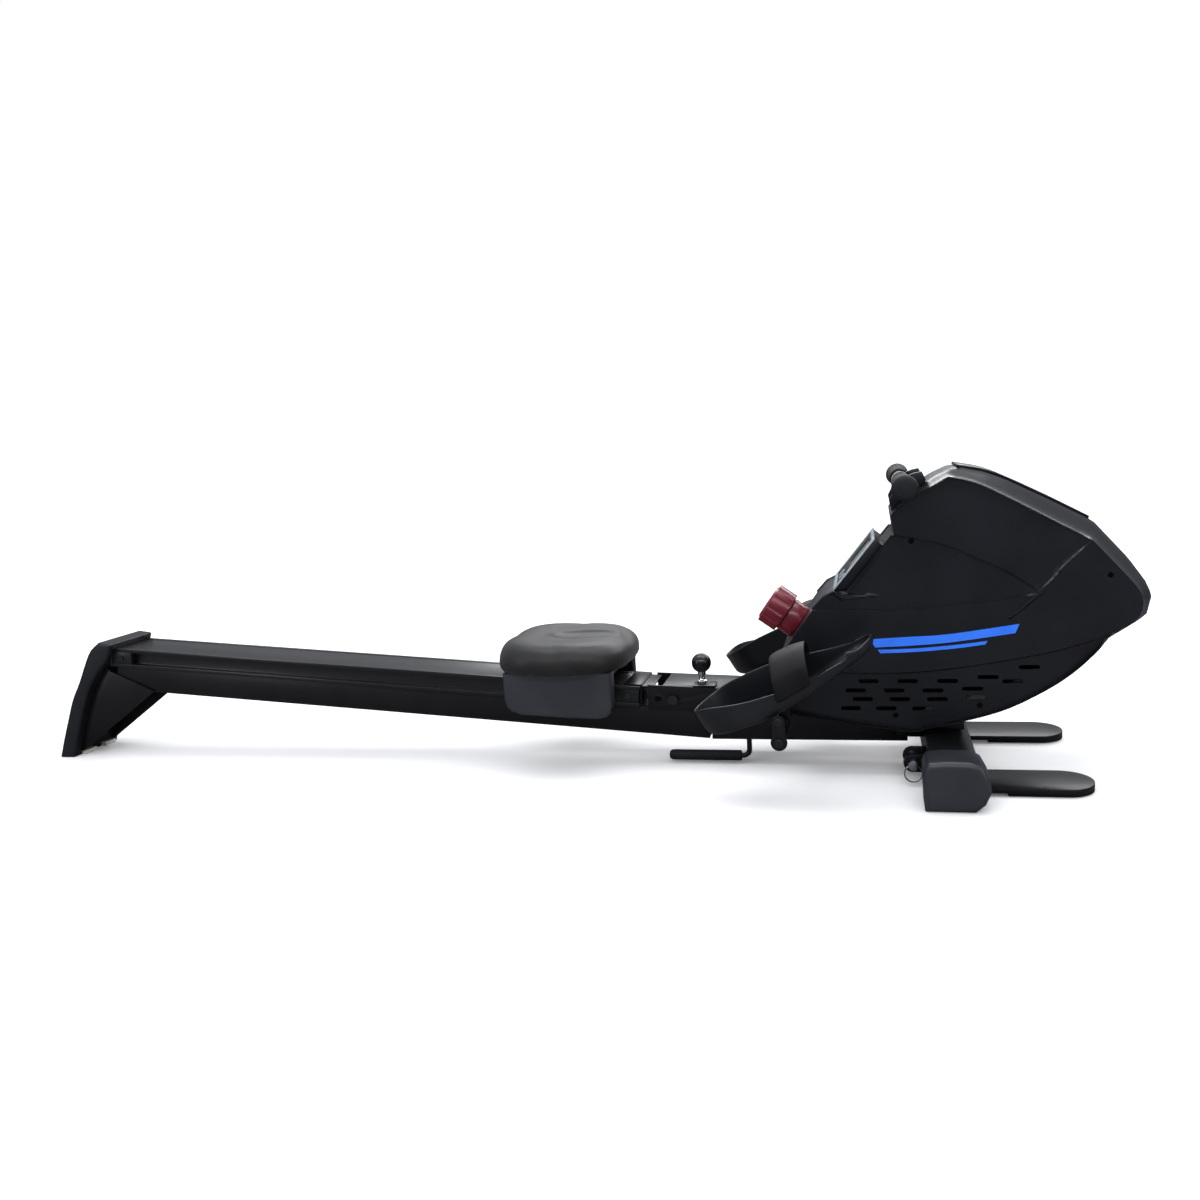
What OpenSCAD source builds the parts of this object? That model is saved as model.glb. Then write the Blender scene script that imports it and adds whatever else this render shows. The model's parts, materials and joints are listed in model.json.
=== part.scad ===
// Folding rowing machine with a magnetic flywheel.
// Frame: +X towards the flywheel housing, +Z up, origin on the floor under the middle.

/* [Rail] */
// Distance from the hinge end of the rail to the rear foot
rail_len = 1100; // [1000:10:1140]
// Width of the rail track
rail_w = 110; // [104:1:114]
// Slope of the rail, rear end higher
rail_tilt = 4.36; // [4.2:0.02:4.5]

/* [Seat] */
// Length of the seat pad along the rail
seat_l = 268; // [240:1:272]
// Width of the seat pad
seat_w = 286; // [250:1:288]

/* [Housing] */
// Half width of the flywheel housing
house_hw = 100; // [98:1:104]
// Wall thickness of the housing
house_wall = 3.5; // [3:0.5:4]
// Radius of the flywheel
flywheel_r = 105; // [90:1:108]

/* [Stance] */
// Width over the front stabiliser end caps
stance_w = 540; // [520:2:560]
// Width over the pull handle
handle_w = 440; // [400:2:460]

/* [Pedals] */
// Slope of the pedals, toes up
pedal_tilt = 30.5; // [26:0.5:34]
// Distance of a pedal's middle from the centre line
pedal_y = 210; // [209:1:212]

/* [Hidden] */
$fn = 48;
steel = "#16171a";
abs_black = "#1b1d21";
gap = 0.3;
// Folding hinge
hinge = [261, 0, 120];
rail_top = 160.1;
rail_front = 203;
rail_rear = rail_front - rail_len;
beam_end = 331;
groove = 14;
// Front frame
beam_w = 90;
beam_x0 = 328;
beam_x1 = 665;
beam_z0 = 46;
beam_h = 52;
beam_top = beam_z0 + beam_h;
bracket_y = 47.5;
lock_c = [313, -36];
lever_c = [393, -38];
lever_z = 14;
// Seat
seat_x = 62;
seat_base = 183;
roller_pitch = 110;
// Drive train
wheel_c = [840, 295];
spool_c = [640, 230];
guide_c = [694, 446];
spool_r = 30;
guide_r = 12;
arm_c = [760, 196];
strap_t = 1.4;
belt_y = 24;
belt_groove_r = 63;
small_groove_r = 20;
belt_t = 2.3;
// Tension knob on the sloped front face, its axis leaning back
knob_c = [480, 252];
knob_lean = -54;
// Handle at rest in its cradle
bar_c = [662, 489];
bar_r = 13;
grip_r = 17;
// The handle leaves its rests along this rise, in degrees
pull_rise = 12;
// Floor of the notch that holds the console, and the console's size on it
face_c = [602, 352.5];
face_slope = 50.96;
console_w = 168;
console_l = 108;
console_h = 17.7;
// Pedal hinge and crossbar
pivot = [465, 140];
crossbar_c = [465, 107];
// Ring pin
pin_c = [670, 34];
pin_y = -142;

// Side outline of the housing at its widest
function outline() = [[463, 112], [555, 95], [665, 80], [786, 107], [841, 129], [901, 165],
  [945, 204], [1004, 254], [1018, 272], [1021, 291], [1013, 310], [987, 341], [950, 384],
  [885, 423], [811, 466], [733, 499], [706, 482], [667, 463], [643, 440], [514, 286],
  [458, 209]];
// Crowned outline along the middle of the housing
function crown() = [[463, 112], [555, 95], [665, 80], [782, 98], [844, 120], [906, 159],
  [965, 215], [1030, 258], [1040, 270], [1044, 281], [1036, 310], [1006, 354], [952, 417],
  [883, 456], [821, 489], [790, 502], [747, 512], [712, 497], [672, 470], [643, 440],
  [514, 286], [458, 209]];

// Notch across the sloped front face, where the console lies
function console_notch() = [[545, 322], [557, 297], [647, 408], [643, 440], [600, 470], [510, 360]];

// Lays a drawing made in X and Z across the object, between two Y values
module across(y0, y1) {
  translate([0, y1, 0]) rotate([90, 0, 0]) linear_extrude(y1 - y0) children();
}
// A round bar along Y
module y_bar(c, r, y0, y1) {
  translate([c[0], y0, c[1]]) rotate([-90, 0, 0]) cylinder(r = r, h = y1 - y0);
}
module both_sides() {
  children();
  mirror([0, 1, 0]) children();
}
// Rail frame: x along the rail, z = 0 on its top face
module on_rail() {
  translate([0, 0, rail_top]) rotate([0, rail_tilt, 0]) children();
}

module front_beam() {
  color(steel) difference() {
    translate([beam_x0, -beam_w / 2, beam_z0]) cube([beam_x1 - beam_x0, beam_w, beam_h]);
    translate([beam_x0 - 1, -beam_w / 2 + 3, beam_z0 + 3])
      cube([beam_x1 - beam_x0 - 3, beam_w - 6, beam_h - 6]);
    translate([lever_c[0], lever_c[1], beam_z0 - 1]) cylinder(r = 5.05, h = 5);
  }
}
module hinge_bracket() {
  color(steel) difference() {
    union() {
      both_sides() across(bracket_y, bracket_y + 3)
        polygon([[215, 103], [382, 99], [382, 139], [215, 147]]);
      across(-bracket_y, bracket_y) polygon([[243, 142.7], [382, 136], [382, 139], [243, 145.7]]);
      across(-bracket_y, bracket_y) polygon([[329, beam_top], [382, beam_top],
        [382, beam_top + 4], [329, beam_top + 4]]);
    }
    y_bar([hinge[0], hinge[2]], 6.05, -60, 60);
    translate([lock_c[0], lock_c[1], 130]) cylinder(r = 5.05, h = 20);
  }
}
module hinge_pin() {
  color("silver") {
    y_bar([hinge[0], hinge[2]], 6, -50.5, 50.5);
    both_sides() y_bar([hinge[0], hinge[2]], 9, 50.5, 55.5);
  }
}
// Two plates that stand on the beam and hold every axle
module mast_plates() {
  color(steel) difference() {
    both_sides() across(38, 42) polygon([[560, beam_top], [690, beam_top], [872, 262],
      [880, 325], [800, 325], [718, 300], [718, 470], [668, 452], [668, 296], [596, 262]]);
    y_bar(wheel_c, 8.05, -60, 60);
    y_bar(spool_c, 8.05, -60, 60);
    y_bar(guide_c, 5.05, -60, 60);
  }
  color(steel) y_bar(arm_c, 4, -38, -15);
}
module stabiliser_tube() {
  color(steel) difference() {
    across(-214, 214) union() {
      translate([692, 10]) square([50, 61]);
      translate([742, 44]) circle(r = 27);
      translate([692, 10]) square([77, 34]);
    }
    across(-220, 220) translate([695, 13]) square([45, 54]);
  }
}
module stabiliser_end_caps() {
  color(abs_black) both_sides() difference() {
    across(200, stance_w / 2) polygon([[682, 0], [754, 0], [768, 10], [779, 30], [776, 50],
      [769, 68], [757, 76], [712, 80], [686, 76], [680, 66]]);
    across(199, 214.2) union() {
      translate([691.8, 9.8]) square([50, 61.4]);
      translate([742, 44]) circle(r = 27.3);
      translate([691.8, 9.8]) square([77.5, 34.2]);
    }
  }
}
module stabiliser_saddle() {
  color(steel) {
    across(-62, 62) polygon([[690, 71.2], [756, 71.2], [756, 84], [742, 91], [696, 78], [690, 76]]);
    translate([beam_x1, -34, 50]) cube([27, 68, 20]);
    both_sides() translate([beam_x1 - 18, 45, 58]) cube([44, 5, 20]);
  }
}
// Two flat tongues with round ends that lie in front of the stabiliser
module tongue(x0, half, z0, h) {
  translate([x0, 143.5 - half, z0]) cube([943 - half - x0, 2 * half, h]);
  translate([943 - half, 143.5, z0]) cylinder(r = half, h = h);
}
module floor_plates() {
  color(steel) both_sides() {
    tongue(770, 48, 6, 8);
    translate([769.2, 118, 14]) cube([5, 51, 22]);
  }
}
module floor_plate_pads() {
  color("#202020") both_sides() tongue(810, 44, 0, 6);
}
module pin_lugs() {
  color(steel) difference() {
    for (y = [-132, -92])
      across(y, y + 8) union() {
        translate(pin_c) circle(r = 15);
        translate([pin_c[0], pin_c[1] - 15]) square([21.9, 30]);
      }
    y_bar(pin_c, 5.05, -150, -60);
  }
}

// Solid blob of the housing, its corners eased towards both sides
module housing_blob(inset) {
  hull() {
    across(-62 + inset, 62 - inset) offset(delta = -inset) polygon(crown());
    across(-house_hw + 10 + inset, house_hw - 10 - inset) offset(delta = -inset) polygon(outline());
    across(-house_hw + inset, house_hw - inset) offset(delta = -inset - 12) polygon(outline());
  }
}
module vent_slot(x, z) {
  across(-130, 130) union() {
    translate([x - 13, z - 3.5]) square([26, 7]);
    for (s = [-13, 13]) translate([x + s, z]) circle(r = 3.5);
  }
}
function vent_lift(x) = x > 720 ? 0.00125 * (x - 720) * (x - 720) : 0;
module vent_slots() {
  rows = [[602, 63, 5, 163], [581, 62, 5, 147], [592, 60, 4, 132], [572, 58, 3, 116]];
  for (r = rows)
    for (i = [0 : r[2] - 1])
      vent_slot(r[0] + i * r[1], r[3] + vent_lift(r[0] + i * r[1]));
}
screw_spots = [[579, 230], [676, 398], [970, 332], [778, 122], [645, 104]];
screw_r = 4;
module housing_shell() {
  difference() {
    housing_blob(0);
    across(-130, 130) polygon(console_notch());
    difference() {
      housing_blob(house_wall);
      across(-130, 130) offset(delta = house_wall) polygon(console_notch());
    }
    vent_slots();
    for (s = screw_spots) y_bar(s, screw_r + 0.05, -130, 130);
    // Mouth for the strap and slot for the beam
    translate([655, -18, 440]) cube([30, 36, 60]);
    translate([440, -beam_w / 2 - 1, 60]) cube([228, beam_w + 2, beam_top - 59.5]);
    y_bar(crossbar_c, 9.3, -130, 130);
    translate([knob_c[0], 0, knob_c[1]]) rotate([0, knob_lean, 0])
      translate([0, 0, -30]) cylinder(r = 9, h = 60);
  }
}
module housing_left() {
  color(abs_black) intersection() {
    housing_shell();
    translate([400, -200, 0]) cube([700, 200, 600]);
  }
}
module housing_right() {
  color(abs_black) intersection() {
    housing_shell();
    translate([400, 0, 0]) cube([700, 200, 600]);
  }
}
module top_cover() {
  color(abs_black) across(-58, 58) polygon([[748, 512.3], [790, 502.3], [821, 489.3],
    [883, 456.3], [946, 420.6], [948, 423], [884, 459.4], [822, 492.4], [791, 505.4], [749, 515.2]]);
}
// Console: x up the slope, z out of the notch's floor
module on_face() {
  translate([face_c[0], 0, face_c[1]]) rotate([0, -face_slope, 0]) children();
}
console_x0 = -62;
screen_size = [52, 96];
screen_x0 = -20;
button_spots = [[-42, -24], [-42, 24]];
button_r = 7;
module console_bezel() {
  color("silver") on_face() difference() {
    translate([console_x0 + 1, -console_w / 2 - 2, console_h + 0.4])
      cube([console_l + 0.5, console_w + 4, 3]);
    translate([console_x0 + 8, -console_w / 2 + 6, console_h]) cube([console_l - 14, console_w - 12, 4]);
  }
}
module console_case() {
  color("#2a2d33") on_face() difference() {
    translate([console_x0, -console_w / 2, 0.3]) cube([console_l, console_w, console_h]);
    translate([screen_x0 - 0.2, -screen_size[1] / 2 - 0.2, 14])
      cube([screen_size[0] + 0.4, screen_size[1] + 0.4, 5]);
    for (b = button_spots) translate([b[0], b[1], 12]) cylinder(r = button_r + 0.3, h = 10);
  }
}
module console_screen() {
  color("#7f8f86") on_face() translate([screen_x0, -screen_size[1] / 2, 14])
    cube([screen_size[0], screen_size[1], 2]);
}
module console_button(b) {
  color("#b8bcc2") on_face() translate([b[0], b[1], 13.2]) cylinder(r = button_r, h = 6.6);
}
module console_button_left() {
  console_button(button_spots[0]);
}
module console_button_right() {
  console_button(button_spots[1]);
}
// Two rests that hold the bar behind and below, open towards the rower
module handle_cradle() {
  color(abs_black) both_sides() difference() {
    across(50, 62) difference() {
      polygon([[645, 443], [690, 470], [700, 492], [694, 506], [682, 504], [672, 500],
        [648, 474], [642, 462]]);
      offset(delta = 0.1) polygon(crown());
    }
    y_bar(bar_c, bar_r + 0.4, 40, 70);
    translate([bar_c[0], 45, bar_c[1]]) rotate([0, pull_rise, 0]) translate([-80, 0, -bar_r - 0.9])
      cube([80, 20, 60]);
  }
}
module on_knob() {
  translate([knob_c[0], 0, knob_c[1]]) rotate([0, knob_lean, 0]) children();
}
module knob_collar() {
  color("#6b2430") on_knob() difference() {
    translate([0, 0, -7.2]) cylinder(r = 31, h = 28.2);
    translate([0, 0, -8]) cylinder(r = 8.05, h = 30);
  }
}
module tension_knob() {
  color("#6b2430") on_knob() {
    difference() {
      translate([0, 0, 22]) cylinder(r = 37, h = 34);
      for (a = [0 : 30 : 330]) rotate([0, 0, a]) translate([41.5, 0, 26]) cylinder(r = 6.5, h = 40);
    }
    translate([0, 0, 56]) cylinder(r1 = 33, r2 = 29, h = 3);
    translate([0, 0, -24]) cylinder(r = 8, h = 50);
  }
}
module housing_screws() {
  color("#303236") both_sides() for (s = screw_spots)
    y_bar(s, screw_r, house_hw - 4, house_hw + 0.6);
}
// Drive train inside the housing
module wheel_axles() {
  color("silver") {
    y_bar(wheel_c, 8, -46, 46);
    y_bar(spool_c, 8, -46, 46);
    y_bar(guide_c, 5, -46, 46);
  }
}
// A turned piece: its profile is drawn as radius and place along Y
module turned(c) {
  translate([c[0], 0, c[1]]) rotate([-90, 0, 0]) rotate_extrude() children();
}
module flywheel() {
  rim = flywheel_r - 18;
  color("#5a5d62") turned(wheel_c) polygon([[8.06, -16], [22, -16], [22, -8], [rim, -8], [rim, -12],
    [flywheel_r, -12], [flywheel_r, 8], [rim, 8], [rim, 4], [22, 4], [22, 20.9],
    [small_groove_r, 20.9], [small_groove_r, 27.1], [22, 27.1], [22, 31], [8.06, 31]]);
}
module drive_pulley() {
  lip = belt_groove_r + 3;
  color("#26282c") turned(spool_c) polygon([[8.06, 17], [lip, 17], [lip, 20.9],
    [belt_groove_r, 20.9], [belt_groove_r, 27.1], [lip, 27.1], [lip, 31], [8.06, 31]]);
}
// Outline of a belt round both pulleys, with a given clearance from the grooves
module belt_line(span, clear) {
  r1 = belt_groove_r + clear;
  r2 = small_groove_r + clear;
  lean = asin((r1 - r2) / span);
  a = [r1 * sin(lean), r1 * cos(lean)];
  b = [span + r2 * sin(lean), r2 * cos(lean)];
  circle(r = r1);
  translate([span, 0]) circle(r = r2);
  polygon([a, b, [b[0], -b[1]], [a[0], -a[1]]]);
}
module drive_belt() {
  span = wheel_c - spool_c;
  color("#101010") translate([spool_c[0], belt_y - 2.6, spool_c[1]])
    rotate([0, -atan2(span[1], span[0]), 0]) rotate([-90, 0, 0]) linear_extrude(5.2) difference() {
      belt_line(norm(span), gap + belt_t);
      belt_line(norm(span), gap);
    }
}
module strap_spool() {
  flange = spool_r + 14;
  color("#2e3036") turned(spool_c) polygon([[8.06, -16.5], [flange, -16.5], [flange, -14], [spool_r, -14],
    [spool_r, 14], [flange, 14], [flange, 16.5], [8.06, 16.5]]);
}
module guide_roller() {
  flange = guide_r + 3;
  color("#2e3036") turned(guide_c) polygon([[5.06, -18], [flange, -18], [flange, -16], [guide_r, -16],
    [guide_r, 16], [flange, 16], [flange, 18], [5.06, 18]]);
}
// Webbing between the guide roller and the spool
module strap_run() {
  top = [guide_c[0] + guide_r + gap, guide_c[1]];
  low = [spool_c[0] + spool_r + gap, spool_c[1] - 4];
  color("#1c1c1e") across(-12, 12)
    polygon([top, low, [low[0] + strap_t, low[1]], [top[0] + strap_t, top[1]]]);
}
// Drum that holds the flat spiral spring
module recoil_spring_case() {
  color("#3a3d42") turned(spool_c) polygon([[8.05, -34], [36, -34], [36, -18], [8.05, -18]]);
}
// Arm with magnets that swings over the flywheel's rim
module magnet_arm() {
  color("#6d7075") difference() {
    across(-22, -16) union() {
      translate(arm_c) circle(r = 10);
      polygon([[752, 202], [768, 190], [832, 172], [905, 196], [900, 214], [832, 186]]);
    }
    y_bar(arm_c, 4.06, -60, 0);
  }
}
module pedal_crossbar() {
  color(steel) y_bar(crossbar_c, 9, -258, 258);
}
// Links that carry each pedal on the crossbar
module pedal_links() {
  color(steel) both_sides() for (y = [150, 263]) difference() {
    across(y, y + 4) union() {
      translate(crossbar_c) circle(r = 13);
      translate(pivot) circle(r = 10);
      polygon([[pivot[0] - 10, pivot[1]], [pivot[0] + 10, pivot[1]], [crossbar_c[0] + 10, crossbar_c[1]],
        [crossbar_c[0] - 10, crossbar_c[1]]]);
    }
    y_bar(pivot, 4.05, y - 1, y + 5);
    if (y < 200) y_bar(crossbar_c, 9.02, y - 1, y + 5);
  }
}
module pedal_bolts() {
  color("silver") both_sides() {
    y_bar(pivot, 4, 147, 268);
    y_bar(pivot, 7, 267, 270);
    y_bar(pivot, 7, 145, 149.7);
    y_bar(crossbar_c, 5, 258.2, 263);
    y_bar(crossbar_c, 7, 267, 270);
  }
}

// Rail body
module rail_track() {
  half = rail_w / 2;
  color("#121316") on_rail() difference() {
    translate([rail_rear, -half, -38]) cube([rail_front - rail_rear, rail_w, 38]);
    for (s = [-1, 1]) translate([rail_rear - 1, s * half - groove, -31])
      cube([rail_len + 2, 2 * groove, 24]);
    translate([rail_rear - 1, -half + groove + 4, -40])
      cube([rail_len + 2, rail_w - 2 * groove - 8, 33]);
    translate([rail_rear - 1, -half + 8, -1.5]) cube([rail_len + 2, rail_w - 16, 3]);
  }
}
module rail_beam() {
  color(steel) on_rail() difference() {
    translate([rail_rear + 4, -beam_w / 2, -88]) cube([beam_end - rail_rear - 4, beam_w, 49.8]);
    translate([rail_rear + 7, -beam_w / 2 + 3, -85]) cube([beam_end - rail_rear, beam_w - 6, 43.8]);
    translate([lock_c[0] + 3.7, lock_c[1], -60]) cylinder(r = 6, h = 30);
  }
}
module rail_lugs() {
  color(steel) difference() {
    both_sides() across(32, 42) union() {
      translate([hinge[0], hinge[2]]) circle(r = 19);
      polygon([[hinge[0] - 24, 104.2], [hinge[0] - 24, 102], [hinge[0] + 24, 100],
        [hinge[0] + 24, 102], [hinge[0] + 19, 120], [hinge[0] - 19, 120]]);
    }
    y_bar([hinge[0], hinge[2]], 6.06, -60, 60);
    on_rail() translate([200, -60, -80]) cube([120, 120, 41.9]);
  }
}
module rail_end_plates() {
  color(steel) on_rail() {
    translate([rail_rear - 4, -rail_w / 2, -38]) cube([3.9, rail_w, 38]);
    for (x = [rail_rear + 2, rail_front - 44]) both_sides()
      translate([x, rail_w / 2 - groove + 0.1, -30.9]) cube([42, groove - 2, 23.8]);
  }
}
// Bent plate that stops the seat at the front end of the rail
module stop_plate() {
  color(steel) on_rail() {
    translate([rail_front + 0.1, -50, -37]) cube([2.5, 100, 40]);
    translate([rail_front - 30, -50, 0.1]) cube([30, 100, 2.9]);
    translate([rail_front + 2.6, -46, -3]) cube([20, 92, 3]);
  }
}
module rear_foot_gusset() {
  color(steel) {
    both_sides() across(46, 49) polygon([[-908, 178], [-812, 136], [-1000, 8], [-1028, 8], [-1009, 60],
      [-968, 145], [-929, 205]]);
    across(-46, 46) polygon([[-1025, 8], [-1008, 8], [-988, 62], [-950, 145], [-905, 201],
      [-922, 203], [-967, 145], [-1008, 60]]);
  }
}
module rear_foot_strip() {
  color("#2c3440") difference() {
    across(-67.5, 67.5) polygon([[-1044, 0], [-1009, 0], [-987, 62], [-950, 145], [-898, 206], [-886, 236],
      [-915, 240], [-938, 222], [-974, 158], [-1016, 73]]);
    across(-56, 56) polygon([[-1035, -1], [-1000, -1], [-980, 62], [-945, 143], [-880, 205], [-880, 231.5],
      [-912, 231.5], [-930, 214], [-966, 155], [-1007, 72]]);
  }
}
module rear_foot_pads() {
  color("#d8d8d4") both_sides() translate([-1026, 14, 0]) cube([30, 30, 8]);
}
module rail_screws() {
  color("#8a8c90") {
    both_sides() on_rail() for (x = [rail_rear + 22, rail_front - 22])
      translate([x, rail_w / 2 - 1.9, -19]) rotate([-90, 0, 0]) cylinder(r = 5, h = 2.9);
  }
}

// Seat body
module seat_pad() {
  r = 60;
  color("#2b2c30") translate([seat_x, 0, seat_base]) hull() {
    for (x = [-1, 1], y = [-1, 1]) {
      translate([x * (seat_l / 2 - r), y * (seat_w / 2 - r), 0]) cylinder(r = r, h = 16, $fn = 32);
      translate([x * (seat_l / 2 - r - 12), y * (seat_w / 2 - r - 12), 0])
        cylinder(r = r - 14, h = 58, $fn = 32);
      translate([x * (seat_l / 2 - r - 4), y * (seat_w / 2 - r - 4), 0])
        cylinder(r = r - 4, h = 42, $fn = 32);
    }
  }
}
// World place of a point given along the rail and above its top face
function on_rail_point(x, z) = [x * cos(rail_tilt) + z * sin(rail_tilt),
  rail_top - x * sin(rail_tilt) + z * cos(rail_tilt)];
axle_spots = [for (s = [-1, 1]) on_rail_point(seat_x + s * roller_pitch / 2, -19)];
module seat_carriage() {
  color(steel) {
    translate([seat_x - 83.7, -78, seat_base - 13]) cube([171.7, 156, 6]);
    both_sides() for (c = axle_spots) difference() {
      translate([c[0] - 26, 60, c[1] - 15]) cube([52, 4, seat_base - 7 - c[1] + 15]);
      y_bar(c, 4.05, 50, 70);
    }
  }
}
module roller_axles() {
  color("silver") both_sides() for (c = axle_spots) y_bar(c, 4, 43.5, 66.5);
}
module rollers_at(c) {
  color("#3a3c40") both_sides() difference() {
    y_bar(c, 11.4, 44, 56);
    y_bar(c, 4.06, 40, 60);
  }
}
module front_rollers() {
  rollers_at(axle_spots[1]);
}
module rear_rollers() {
  rollers_at(axle_spots[0]);
}
module seat_skirt() {
  color("#2a2c31") difference() {
    across(-112, 112) polygon([[-38, 182.6], [-38, 130], [-26, 112], [-6, 105], [140, 98], [156, 104],
      [162, 182.6]]);
    across(-108, 108) polygon([[-34, 176.3], [-34, 60], [158, 60], [158, 176.3]]);
    across(-80, 80) polygon([[-50, 172], [-50, 60], [180, 60], [180, 172]]);
  }
}

// Handle body
module handle_bar() {
  color("#1a1b1e") difference() {
    y_bar(bar_c, bar_r, -handle_w / 2 + 4, handle_w / 2 - 4);
    y_bar(bar_c, bar_r - 2.5, -handle_w / 2 - 1, -20);
    y_bar(bar_c, bar_r - 2.5, 20, handle_w / 2 + 1);
  }
}
module handle_grips() {
  color("#202124") both_sides() {
    difference() {
      y_bar(bar_c, grip_r, 72, handle_w / 2 - 2);
      y_bar(bar_c, bar_r, 60, handle_w / 2 - 4);
    }
    y_bar(bar_c, grip_r, handle_w / 2 - 2, handle_w / 2);
  }
}
module pull_strap() {
  color("#1c1c1e") across(-12, 12) polygon([[668, 477.2], [690, 459], [692, 460.6], [670, 478.6]]);
}

// Pedals, drawn with the toe along +x and the hinge at the origin
heel_r = 52;
toe_r = 40;
module sole(r_less) {
  union() {
    translate([-66, 0]) circle(r = heel_r - r_less);
    translate([148, 0]) circle(r = toe_r - r_less);
    polygon([[-63, heel_r - r_less], [-63, -heel_r + r_less], [150, -toe_r + r_less], [150, toe_r - r_less]]);
  }
}
module pedal() {
  color("#2e3137") rotate([0, -pedal_tilt, 0]) difference() {
    union() {
      intersection() {
        linear_extrude(120) difference() {
          sole(0);
          sole(3.5);
        }
        across(-60, 60) polygon([[-122, 30], [-60, 17], [-8, 8], [86, 10], [190, 19], [190, 24], [139, 30],
          [80, 34], [40, 44], [13, 54], [-42, 68], [-87, 76], [-122, 76]]);
      }
      intersection() {
        linear_extrude(120) sole(1);
        across(-60, 60) polygon([[-120, 30], [-60, 17], [-8, 8], [86, 10], [190, 19], [190, 23], [86, 14],
          [-8, 12], [-60, 21], [-120, 34]]);
      }
      translate([0, -44, 0]) rotate([-90, 0, 0]) cylinder(r = 9.5, h = 88);
    }
    translate([0, -70, 0]) rotate([-90, 0, 0]) cylinder(r = 4.06, h = 140);
  }
}
module pedal_left() {
  translate([pivot[0], -pedal_y, pivot[1]]) pedal();
}
module pedal_right() {
  mirror([0, 1, 0]) pedal_left();
}
// Wide band over the foot
module foot_strap() {
  color("#26282c") rotate([0, -pedal_tilt, 0]) translate([22, 0, 0]) rotate([90, 0, 90])
    linear_extrude(62) union() {
      difference() {
        translate([0, 40]) circle(r = 52);
        translate([0, 40]) circle(r = 49.6);
        translate([-60, -30]) square([120, 70]);
      }
      for (s = [-1, 1]) translate([s * 50.8 - 1.2, 20]) square([2.4, 20.5]);
    }
}
module foot_strap_left() {
  translate([pivot[0], -pedal_y, pivot[1]]) foot_strap();
}
module foot_strap_right() {
  mirror([0, 1, 0]) foot_strap_left();
}

// Small moving pieces
module lock_base() {
  color(steel) difference() {
    translate([lock_c[0] - 15, lock_c[1] - 18, 143.3]) cube([40, 34, 3]);
    translate([lock_c[0], lock_c[1], 130]) cylinder(r = 5.05, h = 20);
  }
}
module lock_knob() {
  color("#191a1d") translate([lock_c[0], lock_c[1], 184]) sphere(r = 17.5);
  color("silver") translate([lock_c[0], lock_c[1], 100]) cylinder(r = 5, h = 70);
}
module clamp_lever() {
  color("#2b2d31") translate([lever_c[0], lever_c[1], lever_z]) {
    cylinder(r = 5, h = 50 - lever_z);
    sphere(r = 5.4);
    rotate([0, -90, 0]) cylinder(r = 5, h = 147);
    translate([-8, 0, 0]) rotate([0, -90, 0]) cylinder(r = 9.5, h = 136);
  }
}
module ring_pin() {
  color("silver") {
    y_bar(pin_c, 5, pin_y, -70);
    y_bar(pin_c, 8, pin_y - 5, pin_y);
    translate([pin_c[0], pin_y - 2.5, pin_c[1] - 14.5]) rotate([90, 0, 0])
      rotate_extrude() translate([14.5, 0]) circle(r = 1.4);
  }
}

front_beam();
hinge_bracket();
hinge_pin();
mast_plates();
stabiliser_tube();
stabiliser_end_caps();
stabiliser_saddle();
floor_plates();
floor_plate_pads();
pin_lugs();
housing_left();
housing_right();
top_cover();
console_bezel();
console_case();
console_screen();
handle_cradle();
knob_collar();
housing_screws();
wheel_axles();
pedal_crossbar();
pedal_links();
pedal_bolts();
lock_base();
drive_belt();
strap_run();
recoil_spring_case();
rail_track();
rail_beam();
rail_lugs();
rail_end_plates();
stop_plate();
rear_foot_gusset();
rear_foot_strip();
rear_foot_pads();
rail_screws();
seat_pad();
seat_carriage();
seat_skirt();
roller_axles();
front_rollers();
rear_rollers();
tension_knob();
magnet_arm();
flywheel();
drive_pulley();
strap_spool();
guide_roller();
handle_bar();
handle_grips();
pull_strap();
pedal_left();
pedal_right();
foot_strap_left();
foot_strap_right();
lock_knob();
clamp_lever();
ring_pin();
console_button_left();
console_button_right();
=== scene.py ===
# %% [markdown]
# # A folding rowing machine
# The imported CAD model is the frame that everything hangs on. This script gives it its looks:
# moulded shells, a foam seat, rubber, chrome and powder-coated steel. The engineering pieces
# stay where the frame puts them, and each new piece but the pull strap rides on one of its bodies.

# %% Load the frame
import json
import math

import bmesh
import bpy
from mathutils import Matrix, Vector


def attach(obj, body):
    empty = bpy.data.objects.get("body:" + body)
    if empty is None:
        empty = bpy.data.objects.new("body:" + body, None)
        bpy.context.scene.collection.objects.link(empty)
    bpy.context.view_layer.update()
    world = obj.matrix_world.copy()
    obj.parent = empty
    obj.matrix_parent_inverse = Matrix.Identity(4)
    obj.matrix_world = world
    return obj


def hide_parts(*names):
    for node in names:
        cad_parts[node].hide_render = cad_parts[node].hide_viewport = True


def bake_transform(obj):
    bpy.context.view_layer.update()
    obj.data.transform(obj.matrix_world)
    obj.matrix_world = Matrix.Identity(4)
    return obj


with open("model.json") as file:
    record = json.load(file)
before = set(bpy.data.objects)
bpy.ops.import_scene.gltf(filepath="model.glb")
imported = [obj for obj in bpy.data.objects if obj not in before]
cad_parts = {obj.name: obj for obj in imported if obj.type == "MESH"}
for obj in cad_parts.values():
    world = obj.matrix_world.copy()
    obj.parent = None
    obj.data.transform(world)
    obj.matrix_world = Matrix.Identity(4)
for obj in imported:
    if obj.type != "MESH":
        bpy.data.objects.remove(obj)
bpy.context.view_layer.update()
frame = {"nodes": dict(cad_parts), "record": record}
scene = bpy.context.scene
BODY_OF = {node: body for body, nodes in frame["record"]["behaviour"]["bodies"].items() for node in nodes}

# %% [markdown]
# Lengths are written in millimetres, as on a drawing, and turned to metres where they meet Blender.

# %% Small helpers for lengths and curves
MM = 0.001


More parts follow.
